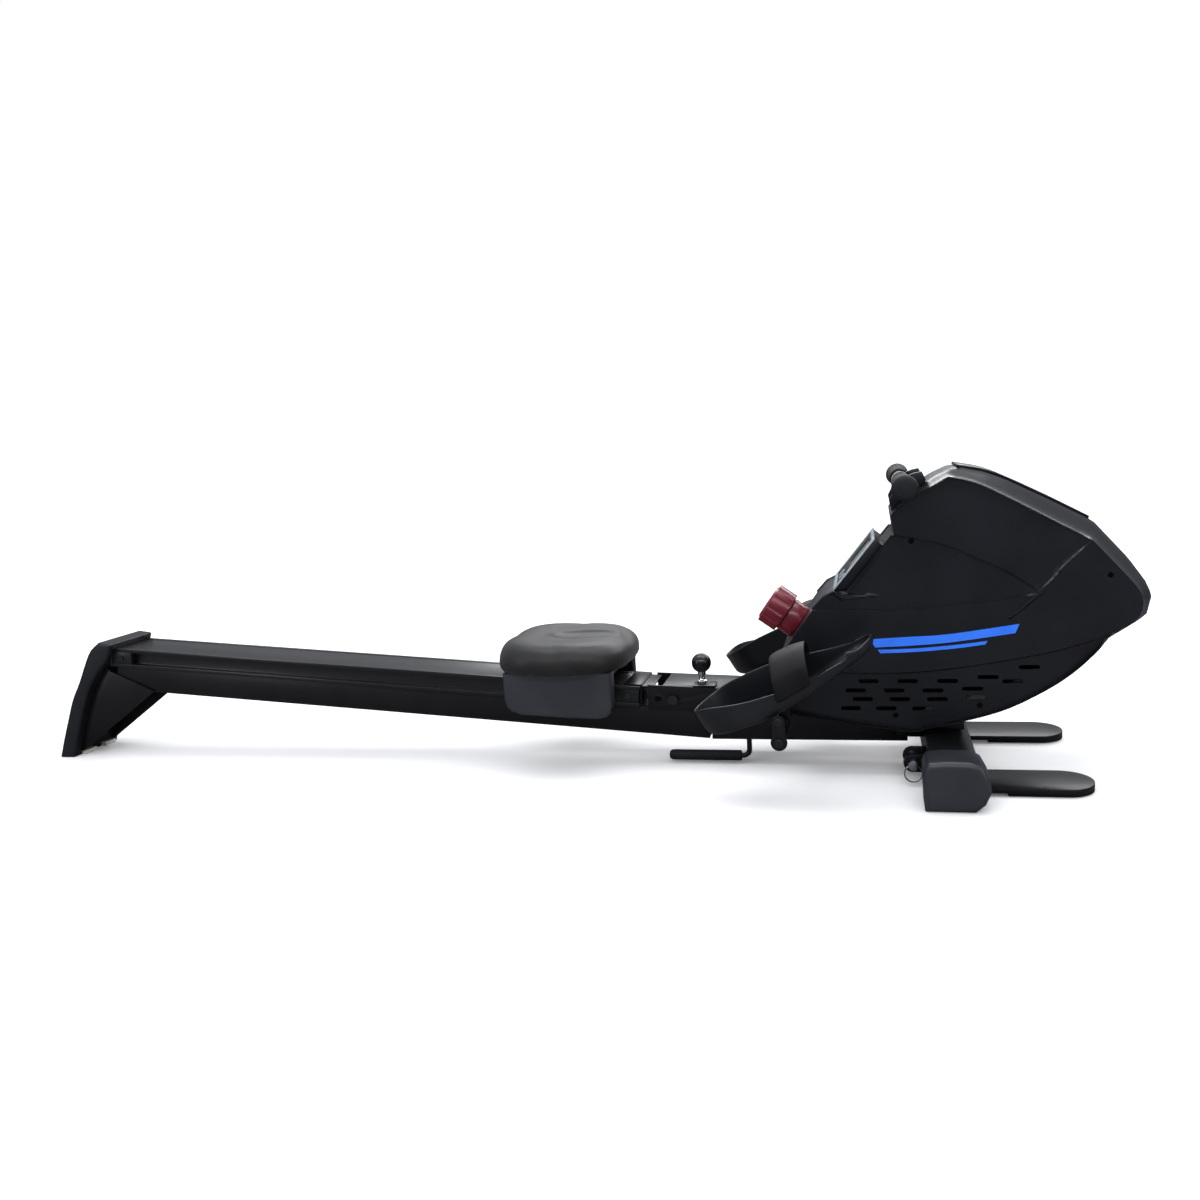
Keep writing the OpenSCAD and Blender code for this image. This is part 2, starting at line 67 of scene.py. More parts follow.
def at(x, y, z):
    """A point given in millimetres."""
    return Vector((x, y, z)) * MM


def clamp(value, low=0, high=1):
    return min(max(value, low), high)


def smooth_path(corners, count):
    """count + 1 evenly spaced points on a rounded path through a few (x, z) corners."""
    points = [Vector(corner) for corner in corners]
    ends = [points[0] * 2 - points[1]] + points + [points[-1] * 2 - points[-2]]
    fine = []
    for i in range(1, len(ends) - 2):
        before, start, stop, after = ends[i - 1:i + 3]
        for k in range(24):
            t = k / 24
            fine.append(0.5 * (2 * start + (stop - before) * t
                               + (2 * before - 5 * start + 4 * stop - after) * t ** 2
                               + (3 * start - before - 3 * stop + after) * t ** 3))
    fine.append(points[-1])
    return evenly(fine, count)


def evenly(points, count):
    """The same path with its points spread evenly along it."""
    points = [Vector(point) for point in points]
    steps = [(b - a).length for a, b in zip(points, points[1:])]
    total = sum(steps)
    out, i, walked = [], 0, 0.0
    for k in range(count + 1):
        target = total * k / count
        while i < len(steps) - 1 and walked + steps[i] < target:
            walked += steps[i]
            i += 1
        t = (target - walked) / steps[i] if steps[i] else 0
        out.append(points[i].lerp(points[i + 1], clamp(t)))
    return out


print("a quarter of a 40 mm path lies at", evenly([(0, 0), (40, 0)], 4)[1])

# %% [markdown]
# Materials come next. Every finish here is a Principled BSDF whose patterns read Object
# coordinates, so they stay put when the machine folds. A pattern's scale is 1000 divided by its
# real size in millimetres, because the coordinates are in metres.


# %% Colour, node and object helpers
def srgb(code):
    """A hex colour as linear RGBA."""
    parts = [int(code[i:i + 2], 16) / 255 for i in (1, 3, 5)]
    return tuple(c / 12.92 if c <= 0.04045 else ((c + 0.055) / 1.055) ** 2.4 for c in parts) + (1,)


def add(tree, kind, settings=None, links=None):
    """Adds one node with its settings and its incoming links."""
    node = tree.nodes.new(kind)
    for key, value in (settings or {}).items():
        if isinstance(key, int) or key in node.inputs:
            node.inputs[key].default_value = value
        else:
            setattr(node, key, value)
    for key, socket in (links or {}).items():
        tree.links.new(socket, node.inputs[key])
    return node


def placed(name, bm):
    """An object in the scene around a bmesh."""
    mesh = bpy.data.meshes.new(name)
    bm.to_mesh(mesh)
    thing = bpy.data.objects.new(name, mesh)
    scene.collection.objects.link(thing)
    return thing


def dropped(thing):
    """Removes a helper object and its mesh."""
    mesh = thing.data
    bpy.data.objects.remove(thing)
    bpy.data.meshes.remove(mesh)


def start_material(name, settings):
    """A new material with its shader, and the Object coordinates that its patterns read."""
    material = bpy.data.materials.new(name)
    material.use_nodes = True
    tree = material.node_tree
    shader = tree.nodes["Principled BSDF"]
    for key, value in settings.items():
        shader.inputs[key].default_value = value
    place = add(tree, "ShaderNodeTexCoord").outputs["Object"]
    return material, tree, shader, place


def two_tone(tree, shader, factor, dark, light):
    """Colours the shader between two hex colours by a pattern."""
    ramp = add(tree, "ShaderNodeValToRGB", links={"Fac": factor})
    ramp.color_ramp.elements[0].position = 0.3
    ramp.color_ramp.elements[1].position = 0.7
    ramp.color_ramp.elements[0].color = srgb(dark)
    ramp.color_ramp.elements[1].color = srgb(light)
    tree.links.new(ramp.outputs["Color"], shader.inputs["Base Color"])


def vary_roughness(tree, shader, factor, low, high):
    """Roughness between two values by a pattern, as handling leaves it."""
    spread = add(tree, "ShaderNodeMapRange", {"To Min": low, "To Max": high}, {"Value": factor})
    tree.links.new(spread.outputs["Result"], shader.inputs["Roughness"])


def relief(tree, shader, height, depth_mm, strength=1.0):
    """Bump of a real depth in millimetres."""
    bump = add(tree, "ShaderNodeBump", {"Distance": depth_mm * MM, "Strength": strength}, {"Height": height})
    tree.links.new(bump.outputs["Normal"], shader.inputs["Normal"])


print("mid grey as linear:", [round(c, 3) for c in srgb("#808080")])


# %% [markdown]
# The casings are injection-moulded ABS. Its mould is spark-eroded, which leaves a fine even grain
# that breaks the highlight into a satin sheen, and hands polish it unevenly over the years.


# %% Moulded plastics
def moulded_plastic(name, dark, light, roughness, grain_mm, depth_mm):
    material, tree, shader, place = start_material(name, {"IOR": 1.5, "Specular IOR Level": 0.42})
    cloud = add(tree, "ShaderNodeTexNoise", {"Scale": 1000 / 90, "Detail": 4}, {"Vector": place})
    two_tone(tree, shader, cloud.outputs["Fac"], dark, light)
    rub = add(tree, "ShaderNodeTexNoise", {"Scale": 1000 / 35, "Detail": 8, "Roughness": 0.65},
              {"Vector": place})
    vary_roughness(tree, shader, rub.outputs["Fac"], roughness - 0.04, roughness + 0.05)
    grain = add(tree, "ShaderNodeTexVoronoi", {"Scale": 1000 / grain_mm}, {"Vector": place})
    relief(tree, shader, grain.outputs["Distance"], depth_mm, 0.5)
    return material


black_abs = moulded_plastic("spark_grained_black_abs", "#0c0d12", "#13151b", 0.3, 1.4, 0.008)
grey_nylon = moulded_plastic("satin_grey_nylon", "#101115", "#17191d", 0.33, 1.8, 0.02)
end_cap_plastic = moulded_plastic("moulded_grey_polypropylene", "#222429", "#2a2c32", 0.36, 1.8, 0.02)
foot_plastic = moulded_plastic("matte_black_polypropylene", "#0b0c11", "#101218", 0.4, 1.6, 0.03)
dark_acetal = moulded_plastic("dark_acetal", "#101114", "#16171a", 0.35, 1.5, 0.03)
black_ball_resin = moulded_plastic("polished_phenolic", "#0c0c0e", "#121215", 0.2, 2.5, 0.01)
maroon_abs = moulded_plastic("gloss_maroon_abs", "#611521", "#6f1c2b", 0.25, 2.0, 0.01)
silver_paint = moulded_plastic("silver_painted_abs", "#8f959c", "#a3a9b0", 0.3, 1.2, 0.02)
print("plastics:", [m.name for m in (black_abs, grey_nylon, end_cap_plastic, foot_plastic, dark_acetal)])


# %% [markdown]
# Steel parts are powder coated: the powder flows as it bakes and sets with a faint orange peel.
# The rail's track is black anodised aluminium, which keeps fine drawing lines along its length.


# %% Metals
def powder_coat():
    material, tree, shader, place = start_material("black_powder_coated_steel",
                                                   {"IOR": 1.5, "Specular IOR Level": 0.4})
    peel = add(tree, "ShaderNodeTexNoise", {"Scale": 1000 / 3, "Detail": 3}, {"Vector": place})
    cloud = add(tree, "ShaderNodeTexNoise", {"Scale": 1000 / 60, "Detail": 5}, {"Vector": place})
    two_tone(tree, shader, cloud.outputs["Fac"], "#050506", "#0a0a0c")
    vary_roughness(tree, shader, cloud.outputs["Fac"], 0.3, 0.42)
    relief(tree, shader, peel.outputs["Fac"], 0.06, 0.6)
    return material


def black_anodised():
    material, tree, shader, place = start_material("black_anodised_aluminium", {"IOR": 1.6})
    along = add(tree, "ShaderNodeMapping", {"Scale": (1.5, 1000 / 0.8, 1000 / 0.8)}, {"Vector": place})
    lines = add(tree, "ShaderNodeTexNoise", {"Scale": 1.0, "Detail": 4}, {"Vector": along.outputs["Vector"]})
    cloud = add(tree, "ShaderNodeTexNoise", {"Scale": 1000 / 80, "Detail": 6}, {"Vector": place})
    two_tone(tree, shader, cloud.outputs["Fac"], "#040405", "#08080a")
    vary_roughness(tree, shader, lines.outputs["Fac"], 0.24, 0.42)
    relief(tree, shader, lines.outputs["Fac"], 0.02, 0.35)
    return material


def bare_metal(name, colour, roughness, spread):
    material, tree, shader, place = start_material(name, {"Metallic": 1.0})
    cloud = add(tree, "ShaderNodeTexNoise", {"Scale": 1000 / 6, "Detail": 6}, {"Vector": place})
    two_tone(tree, shader, cloud.outputs["Fac"], colour, colour)
    vary_roughness(tree, shader, cloud.outputs["Fac"], roughness - spread, roughness + spread)
    relief(tree, shader, cloud.outputs["Fac"], 0.01, 0.3)
    return material


powder_steel = powder_coat()
anodised = black_anodised()
chrome = bare_metal("chrome_plate", "#d6d8dc", 0.08, 0.03)
turned_steel = bare_metal("turned_steel", "#a9abaf", 0.3, 0.06)
cast_iron = bare_metal("machined_cast_iron", "#6a6a6d", 0.45, 0.08)
dark_chrome = bare_metal("dark_chrome_bolt", "#4c4f55", 0.16, 0.05)
black_oxide = bare_metal("black_oxide_screw", "#1c1d20", 0.36, 0.05)
print("metals:", [m.name for m in (powder_steel, anodised, chrome, turned_steel, cast_iron)])


# %% [markdown]
# The seat is moulded polyurethane foam with an integral skin: a soft, dull, leather-grained
# surface. Grips are closed-cell EVA foam with open pores where it was cut.


# %% Soft finishes
def foam_skin():
    material, tree, shader, place = start_material("grained_polyurethane_skin",
                                                   {"IOR": 1.5, "Specular IOR Level": 0.35})
    shader.inputs["Sheen Weight"].default_value = 0.06
    shader.inputs["Sheen Roughness"].default_value = 0.5
    cells = add(tree, "ShaderNodeTexVoronoi", {"Scale": 1000 / 2.4, "feature": "DISTANCE_TO_EDGE"},
                {"Vector": place})
    cloud = add(tree, "ShaderNodeTexNoise", {"Scale": 1000 / 70, "Detail": 6}, {"Vector": place})
    two_tone(tree, shader, cloud.outputs["Fac"], "#0f0f0f", "#151414")
    vary_roughness(tree, shader, cloud.outputs["Fac"], 0.4, 0.55)
    relief(tree, shader, cells.outputs["Distance"], 0.25, 0.35)
    return material


def eva_foam():
    material, tree, shader, place = start_material("cut_eva_foam", {"IOR": 1.45, "Specular IOR Level": 0.3})
    pores = add(tree, "ShaderNodeTexVoronoi", {"Scale": 1000 / 1.6}, {"Vector": place})
    cloud = add(tree, "ShaderNodeTexNoise", {"Scale": 1000 / 20, "Detail": 5}, {"Vector": place})
    two_tone(tree, shader, cloud.outputs["Fac"], "#0e0f12", "#15161a")
    vary_roughness(tree, shader, cloud.outputs["Fac"], 0.62, 0.8)
    relief(tree, shader, pores.outputs["Distance"], 0.3, 0.5)
    return material


def rubber(name, dark, light):
    material, tree, shader, place = start_material(name, {"IOR": 1.52, "Specular IOR Level": 0.25})
    grit = add(tree, "ShaderNodeTexNoise", {"Scale": 1000 / 1.5, "Detail": 5}, {"Vector": place})
    cloud = add(tree, "ShaderNodeTexNoise", {"Scale": 1000 / 25, "Detail": 5}, {"Vector": place})
    two_tone(tree, shader, cloud.outputs["Fac"], dark, light)
    vary_roughness(tree, shader, cloud.outputs["Fac"], 0.48, 0.66)
    relief(tree, shader, grit.outputs["Fac"], 0.08, 0.5)
    return material


def webbing():
    """Woven nylon: ribs 1.6 mm apart across the strap, twilled by a second wave along it."""
    material, tree, shader, place = start_material("woven_nylon_webbing", {"IOR": 1.5})
    shader.inputs["Sheen Weight"].default_value = 0.4
    ribs = add(tree, "ShaderNodeTexWave", {"Scale": 1000 / 1.6 / 6.28, "bands_direction": "Y"},
               {"Vector": place})
    picks = add(tree, "ShaderNodeTexWave", {"Scale": 1000 / 2.2 / 6.28, "bands_direction": "DIAGONAL"},
                {"Vector": place})
    weave = add(tree, "ShaderNodeMath", {"operation": "MULTIPLY"},
                {0: ribs.outputs["Fac"], 1: picks.outputs["Fac"]})
    two_tone(tree, shader, weave.outputs["Value"], "#0f0f11", "#222226")
    vary_roughness(tree, shader, weave.outputs["Value"], 0.65, 0.8)
    relief(tree, shader, weave.outputs["Value"], 0.4, 0.7)
    return material


seat_skin = foam_skin()
grip_foam = eva_foam()
black_rubber = rubber("black_moulded_rubber", "#050506", "#0a0a0b")
pale_rubber = rubber("pale_floor_rubber", "#b9b8b2", "#cdccc6")
strap_web = webbing()
print("soft finishes:", seat_skin.name, grip_foam.name, black_rubber.name, strap_web.name)


# %% [markdown]
# The display is a clear window over a grey-green liquid crystal.


# %% Display window
def lcd_window():
    material, tree, shader, place = start_material("clear_window_over_lcd", {"IOR": 1.49})
    shader.inputs["Coat Weight"].default_value = 0.8
    shader.inputs["Coat Roughness"].default_value = 0.05
    cells = add(tree, "ShaderNodeTexChecker", {"Scale": 1000 / 2.0}, {"Vector": place})
    two_tone(tree, shader, cells.outputs["Fac"], "#6d7a6d", "#75836f")
    vary_roughness(tree, shader, cells.outputs["Fac"], 0.3, 0.34)
    return material


display_glass = lcd_window()
print("display:", display_glass.name)

# %% [markdown]
# The camera stands about 2 m away and 0.6 m above the floor, turned a little to the left.

# %% Camera
def aim(yaw, pitch, roll):
    """A camera's turn from its heading, its dip and its tilt, in radians."""
    ahead = Vector((-math.sin(yaw), math.cos(yaw), 0))
    side = Vector((math.cos(yaw), math.sin(yaw), 0))
    up = Vector((0, 0, 1))
    view = ahead * math.cos(pitch) - up * math.sin(pitch)
    head = up * math.cos(pitch) + ahead * math.sin(pitch)
    right = side * math.cos(roll) + head * math.sin(roll)
    top = head * math.cos(roll) - side * math.sin(roll)
    return Matrix((right, top, -view)).transposed().to_4x4()


lens = bpy.data.cameras.new("camera")
lens.sensor_width = 36
lens.lens = 32.0
camera = bpy.data.objects.new("camera", lens)
camera.matrix_world = Matrix.Translation(at(605, -1884.4, 601.9)) @ aim(0.2496, 0.1561, -0.0625)
scene.collection.objects.link(camera)
scene.camera = camera
print("camera lens:", lens.lens, "mm")

# %% [markdown]
# The setting is a white sweep with broad soft lights, as for a product on a plain page.


# %% Floor and lights
def floor_sweep():
    bm = bmesh.new()
    bmesh.ops.create_grid(bm, x_segments=2, y_segments=2, size=30)
    floor = placed("floor_sweep", bm)
    bm.free()
    material, tree, shader, place = start_material("pale_matte_floor", {"Roughness": 0.9})
    cloud = add(tree, "ShaderNodeTexNoise", {"Scale": 2.0}, {"Vector": place})
    two_tone(tree, shader, cloud.outputs["Fac"], "#f3f3f3", "#f6f6f6")
    pale = shader.inputs["Base Color"].links[0].from_socket
    shader.inputs["Emission Color"].default_value = (1, 1, 1, 1)
    ray = add(tree, "ShaderNodeLightPath")
    far = add(tree, "ShaderNodeVectorMath", {"operation": "LENGTH"}, {0: place})
    glow = add(tree, "ShaderNodeMapRange", {"From Min": 1.0, "From Max": 3.0, "To Min": 0.1, "To Max": 0.75},
               {"Value": far.outputs["Value"]})
    seen = add(tree, "ShaderNodeMath", {"operation": "MULTIPLY"},
               {0: glow.outputs["Result"], 1: ray.outputs["Is Camera Ray"]})
    tree.links.new(seen.outputs["Value"], shader.inputs["Emission Strength"])
    calm = add(tree, "ShaderNodeMix", {"data_type": "RGBA", 7: (0.1, 0.1, 0.11, 1)},
               {0: ray.outputs["Is Glossy Ray"], 6: pale})
    tree.links.new(calm.outputs[2], shader.inputs["Base Color"])
    floor.data.materials.append(material)
    floor.location.z = -0.5 * MM


def soft_light(name, size, power, place, target):
    light = bpy.data.lights.new(name, "AREA")
    light.shape = "RECTANGLE"
    light.size, light.size_y = size
    light.energy = power
    holder = bpy.data.objects.new(name, light)
    holder.location = place
    holder.rotation_euler = (Vector(target) - Vector(place)).to_track_quat("-Z", "Y").to_euler()
    scene.collection.objects.link(holder)


def surround():
    """White page behind, and a dome that is bright overhead and dim at the horizon."""
    sky = bpy.data.worlds.new("white_surround")
    sky.use_nodes = True
    tree = sky.node_tree
    back = tree.nodes["Background"]
    ray = add(tree, "ShaderNodeLightPath")
    way = add(tree, "ShaderNodeTexCoord")
    parts = add(tree, "ShaderNodeSeparateXYZ", links={"Vector": way.outputs["Generated"]})
    rise = add(tree, "ShaderNodeValToRGB", links={"Fac": parts.outputs["Z"]})
    rise.color_ramp.elements[0].position = 0.1
    rise.color_ramp.elements[0].color = (0.20, 0.21, 0.23, 1)
    rise.color_ramp.elements[1].position = 0.85
    rise.color_ramp.elements[1].color = (0.95, 0.98, 1.05, 1)
    page = add(tree, "ShaderNodeMix", {"data_type": "RGBA", 7: (1, 1, 1, 1)},
               {0: ray.outputs["Is Camera Ray"], 6: rise.outputs["Color"]})
    tree.links.new(page.outputs[2], back.inputs["Color"])
    scene.world = sky


floor_sweep()
surround()
soft_light("top_softbox", (3.0, 1.2), 40, (0.3, 0.2, 2.4), (0.3, 0, 0))
soft_light("front_strip", (3.4, 0.22), 34, (0.6, -2.6, 2.1), (0.4, 0, 0.25))
soft_light("left_strip", (0.3, 1.6), 12, (-2.2, -2.0, 1.2), (0.4, 0, 0.25))
soft_light("right_strip", (0.25, 1.6), 12, (3.3, -1.9, 1.1), (0.8, 0, 0.3))
soft_light("back_strip", (3.0, 0.5), 30, (0.8, 1.9, 1.5), (0.6, 0, 0.3))
scene.view_settings.view_transform = "Standard"

# %% [markdown]
# A new piece is finished the same way each time: loose doubles are merged, its faces are turned
# outwards, edges sharper than an angle stay crisp, and unless it is told not to ride, it rides on
# the body of the CAD node that it stands for, or on a body that it names.


# %% Turning a bmesh into a piece
def crease(bm, angle):
    for face in bm.faces:
        face.smooth = True
    for edge in bm.edges:
        edge.smooth = not edge.is_manifold or edge.calc_face_angle() < math.radians(angle)


def make_piece(name, bm, nodes, material, angle=32, body=None, recalculate=True, rides=True):
    """Pieces that stand for no CAD node name their body."""
    bmesh.ops.remove_doubles(bm, verts=bm.verts, dist=1e-6)
    if recalculate:
        bmesh.ops.recalc_face_normals(bm, faces=bm.faces)
    crease(bm, angle)
    piece = placed(name, bm)
    bm.free()
    piece.data.materials.append(material)
    if rides:
        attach(piece, body or BODY_OF[nodes[0]])
    if nodes:
        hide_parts(*nodes)
    return piece


def bevel_where(bm, width_mm, segments, test):
    """Rounds the edges that pass a test."""
    edges = [e for e in bm.edges if e.is_manifold and test(e)]
    bmesh.ops.bevel(bm, geom=edges, offset=width_mm * MM, offset_type="OFFSET", segments=segments,
                    profile=0.5, affect="EDGES", clamp_overlap=True, material=-1)


def folds_by(angle):
    """A test for edges that fold by more than an angle in degrees."""
    return lambda e: e.calc_face_angle() > math.radians(angle)


def eased(name, node, width_mm, material, angle=28, segments=2):
    """A copy of a CAD node with its sharp edges rounded, as cutting and coating leave them."""
    bm = bmesh.new()
    bm.from_mesh(frame["nodes"][node].data)
    bmesh.ops.remove_doubles(bm, verts=bm.verts, dist=1e-5)
    bmesh.ops.dissolve_limit(bm, angle_limit=math.radians(1), verts=bm.verts, edges=bm.edges,
                             delimit=set())
    bevel_where(bm, width_mm, segments, folds_by(angle))
    return make_piece(name, bm, [node], material, recalculate=False)


def coat(material, *nodes):
    """A CAD node whose shape is right keeps it, and takes a better finish."""
    for node in nodes:
        mesh = frame["nodes"][node].data
        mesh.materials.clear()
        mesh.materials.append(material)


def lofted(bm, rows):
    """Faces between rows of places, each row joined to the one before."""
    before = None
    for row in rows:
        verts = [bm.verts.new(place) for place in row]
        edges = [bm.edges.new(pair) for pair in zip(verts, verts[1:])]
        if before:
            bmesh.ops.bridge_loops(bm, edges=before + edges)
        before = edges


def extruded(bm, outline, y0, y1):
    """A closed prism from (x, z) millimetre corners, from one Y to another."""
    base = [bm.verts.new(at(x, y0, z)) for x, z in outline]
    face = bm.faces.new(base)
    moved = bmesh.ops.extrude_face_region(bm, geom=[face])["geom"]
    verts = [g for g in moved if isinstance(g, bmesh.types.BMVert)]
    bmesh.ops.translate(bm, verts=verts, vec=at(0, y1 - y0, 0))
    return base + verts


def flipped(bm):
    """A copy on the other side of the middle plane."""
    other = bm.copy()
    bmesh.ops.scale(other, verts=other.verts, vec=(1, -1, 1))
    bmesh.ops.reverse_faces(other, faces=other.faces)
    return other


def mirrored(bm):
    """Adds the mirror image on the other side of the middle plane."""
    copy = bmesh.ops.duplicate(bm, geom=bm.verts[:] + bm.edges[:] + bm.faces[:])["geom"]
    verts = [g for g in copy if isinstance(g, bmesh.types.BMVert)]
    faces = [g for g in copy if isinstance(g, bmesh.types.BMFace)]
    bmesh.ops.scale(bm, verts=verts, vec=(1, -1, 1))
    bmesh.ops.reverse_faces(bm, faces=faces)


# %% [markdown]
# ## The flywheel housing
# The real casing is two moulded half shells with stepped panels on their sides and rows of vent
# slots low down. A side could be one flat face with lines cut in it, but then the steps would be
# ragged. Instead each panel is a strip of rows between two drawn lines, so that every step in
# the moulding follows a row of edges.

# %% Lines of the housing side, in X and Z
SIDE_Y = -97.0
TOP_LINE = smooth_path([(643, 440), (667, 463), (706, 482), (732, 497)], 16)[:-1] \
    + smooth_path([(732, 497), (770, 487), (811, 466), (885, 423), (946, 388)], 36)
UPPER_LINE = smooth_path([(647, 408), (720, 391), (781, 363), (826, 340), (872, 307)], 36)[:-1] \
    + smooth_path([(872, 307), (900, 345), (946, 388)], 16)
MIDDLE_LINE = smooth_path([(514, 286), (560, 283), (624, 281), (688, 284), (750, 289), (811, 295),
                           (872, 307)], 36)
NOSE_LINE = smooth_path([(946, 388), (987, 341), (1012, 310), (1019, 291), (1017, 272), (1004, 255),
                         (975, 240)], 20)
BAND_TOP = MIDDLE_LINE[:-1] + UPPER_LINE[36:-1] + NOSE_LINE
BAND_LOW = smooth_path([(458, 209), (500, 190), (557, 180), (654, 179), (718, 184), (795, 195),
                        (886, 212), (945, 229), (975, 240)], len(BAND_TOP) - 1)
FOOT_LINE = smooth_path([(463, 112), (555, 95), (665, 80), (700, 86), (786, 107), (841, 129), (901, 165),
                         (945, 204), (975, 240)], len(BAND_TOP) - 1)
NOTCH_LINE = evenly([(647, 408), (557, 297), (545, 322), (514, 286)], 8)
print("points along the band:", len(BAND_TOP))


# %% Strips between two lines
def bulge(x, z):
    """How far the side stands out at a place: a little more in the middle than at the rim."""
    across = (x - 745) / 300
    up = (z - 285) / 220
    return 4.0 * max(0.0, 1 - across * across - up * up)


def row_between(upper, lower, t):
    return [a.lerp(b, t) for a, b in zip(upper, lower)]


def on_side(row, depths):
    """Places on the side for a row of (x, z) points, each sunk by its own depth."""
    return [at(p.x, SIDE_Y - bulge(p.x, p.y) + d, p.y) for p, d in zip(row, depths)]


def place_on(line, t):
    """The place a share t of the way along a line of evenly spaced points."""
    f = t * (len(line) - 1)
    i = min(int(f), len(line) - 2)
    return line[i].lerp(line[i + 1], f - i)


def panel(bm, upper, lower, rows, depth_mm=0.0, step_mm=2.4, upper_depths=None, lower_depths=None,
          left_line=None):
    """Rows of faces between two lines. With a depth, all but the rim sinks over a short step."""
    last = len(upper) - 1
    gaps = [max((a - b).length, 0.01) for a, b in zip(upper, lower)]
    steps = [min(step_mm / gap, 0.3) for gap in gaps]
    sunk = [depth_mm * min(gap / 24, 1) for gap in gaps]
    sunk[last] = 0
    if not left_line:
        sunk[0] = 0
    zeros = [0.0] * (last + 1)
    levels = [([0.0] * (last + 1), upper_depths or zeros)]
    for r in range(rows + 1):
        levels.append(([s + (1 - 2 * s) * r / rows for s in steps], sunk))
    levels.append(([1.0] * (last + 1), lower_depths or zeros))
    rows_of_places = []
    for shares, depths in levels:
        row = [a.lerp(b, t) for a, b, t in zip(upper, lower, shares)]
        if left_line:
            shift = place_on(left_line, shares[0]) - row[0]
            row = [p + shift * (1 - k / last) ** 3 for k, p in enumerate(row)]
        rows_of_places.append(on_side(row, depths))
    lofted(bm, rows_of_places)


# %% Rim of the side and the crown it rises to
RIM_FADE = (645, 60)
CROWN = [(463, 112), (555, 95), (665, 80), (782, 98), (844, 120), (906, 159), (965, 215), (1030, 258),
         (1040, 270), (1044, 281), (1036, 310), (1006, 354), (952, 417), (883, 456), (821, 489),
         (790, 502), (747, 512), (712, 497), (672, 470), (643, 440), (514, 286), (458, 209)]
CROWN = [Vector(p) for p in CROWN]


def nearest_on_crown(spot):
    """The closest place on the outline of the housing's middle."""
    best = None
    for a, b in zip(CROWN, CROWN[1:] + CROWN[:1]):
        along = b - a
        t = clamp((spot - a).dot(along) / along.length_squared)
        place = a + along * t
        if best is None or (place - spot).length < (best - spot).length:
            best = place
    return best


def grown(bm, ring):
    """The points and the edges of a new ring extruded from a ring of edges."""
    new = bmesh.ops.extrude_edge_only(bm, edges=ring)["geom"]
    verts = {g for g in new if isinstance(g, bmesh.types.BMVert)}
    return verts, [g for g in new if isinstance(g, bmesh.types.BMEdge) and all(v in verts for v in g.verts)]


def rim_ring(bm, ring, y, done, share):
    """Grows the shell by one ring towards the middle plane, a share of the way out to the crown."""
    verts, edges = grown(bm, ring)
    for v in verts:
        spot = Vector((v.co.x, v.co.z)) / MM
        fade = clamp((spot.x - RIM_FADE[0]) / RIM_FADE[1])
        spot = spot.lerp(nearest_on_crown(spot), fade * (share - done) / (1 - done))
        v.co = at(spot.x, y, spot.y)
    return edges


def turn_outwards(bm, centre):
    """All faces point away from a place inside an open shell."""
    bmesh.ops.recalc_face_normals(bm, faces=bm.faces)
    lean = sum((f.calc_center_median() - centre).dot(f.normal) * f.calc_area() for f in bm.faces)
    if lean < 0:
        bmesh.ops.reverse_faces(bm, faces=bm.faces)


RIDGE_DEPTH = 1.6
RIM_RINGS = ((-95.6, 0.02), (-92.5, 0.07), (-87.0, 0.16), (-79, 0.36), (-70.0, 0.66), (-61.0, 0.93),
             (-54, 0.985), (-28.0, 0.995), (-0.5, 0.999))


def half_shell():
    """The left side's panels, then rings that carry its rim in to the middle plane."""
    bm = bmesh.new()
    ridge = [RIDGE_DEPTH * clamp((36 - k) / 3) for k in range(len(UPPER_LINE))]
    panel(bm, TOP_LINE, UPPER_LINE, 7, RIDGE_DEPTH, 3.0, lower_depths=ridge)
    panel(bm, UPPER_LINE[:37], MIDDLE_LINE, 8, 5.0, 2.2, upper_depths=ridge[:37], left_line=NOTCH_LINE)
    panel(bm, BAND_TOP, BAND_LOW, 6)
    panel(bm, BAND_LOW, FOOT_LINE, 8, 6.0, 3.0)
    bmesh.ops.remove_doubles(bm, verts=bm.verts, dist=0.3 * MM)
    ring = [e for e in bm.edges if e.is_boundary]
    done = 0.0
    for y, share in RIM_RINGS:
        ring = rim_ring(bm, ring, y, done, share)
        done = share
    bmesh.ops.remove_doubles(bm, verts=bm.verts, dist=0.02 * MM)
    turn_outwards(bm, at(745, 0, 285))
    return bm


shell = half_shell()
print("half shell faces:", len(shell.faces), "rim edges:", len([e for e in shell.edges if e.is_boundary]))


# %% Vent slots, screw holes and the gap for the beam
SLOT_ROWS = ((602, 63, 5, 163), (581, 62, 5, 147), (592, 60, 4, 132), (572, 58, 3, 116))
SCREW_SPOTS = ((579, 230, 0.0), (674, 396, 5.0), (972, 333, 0.0), (778, 122, 6.0), (645, 104, 6.0))


def slot_outline(x, z, half=13, r=3.5):
    turns = [math.radians(a) for a in range(-90, 91, 30)]
    right = [(x + half + r * math.cos(t), z + r * math.sin(t)) for t in turns]
    left = [(x - half - r * math.cos(t), z - r * math.sin(t)) for t in turns]
    return right + left


def round_outline(x, z, r, count=24):
    return [(x + r * math.cos(k * math.tau / count), z + r * math.sin(k * math.tau / count))
            for k in range(count)]


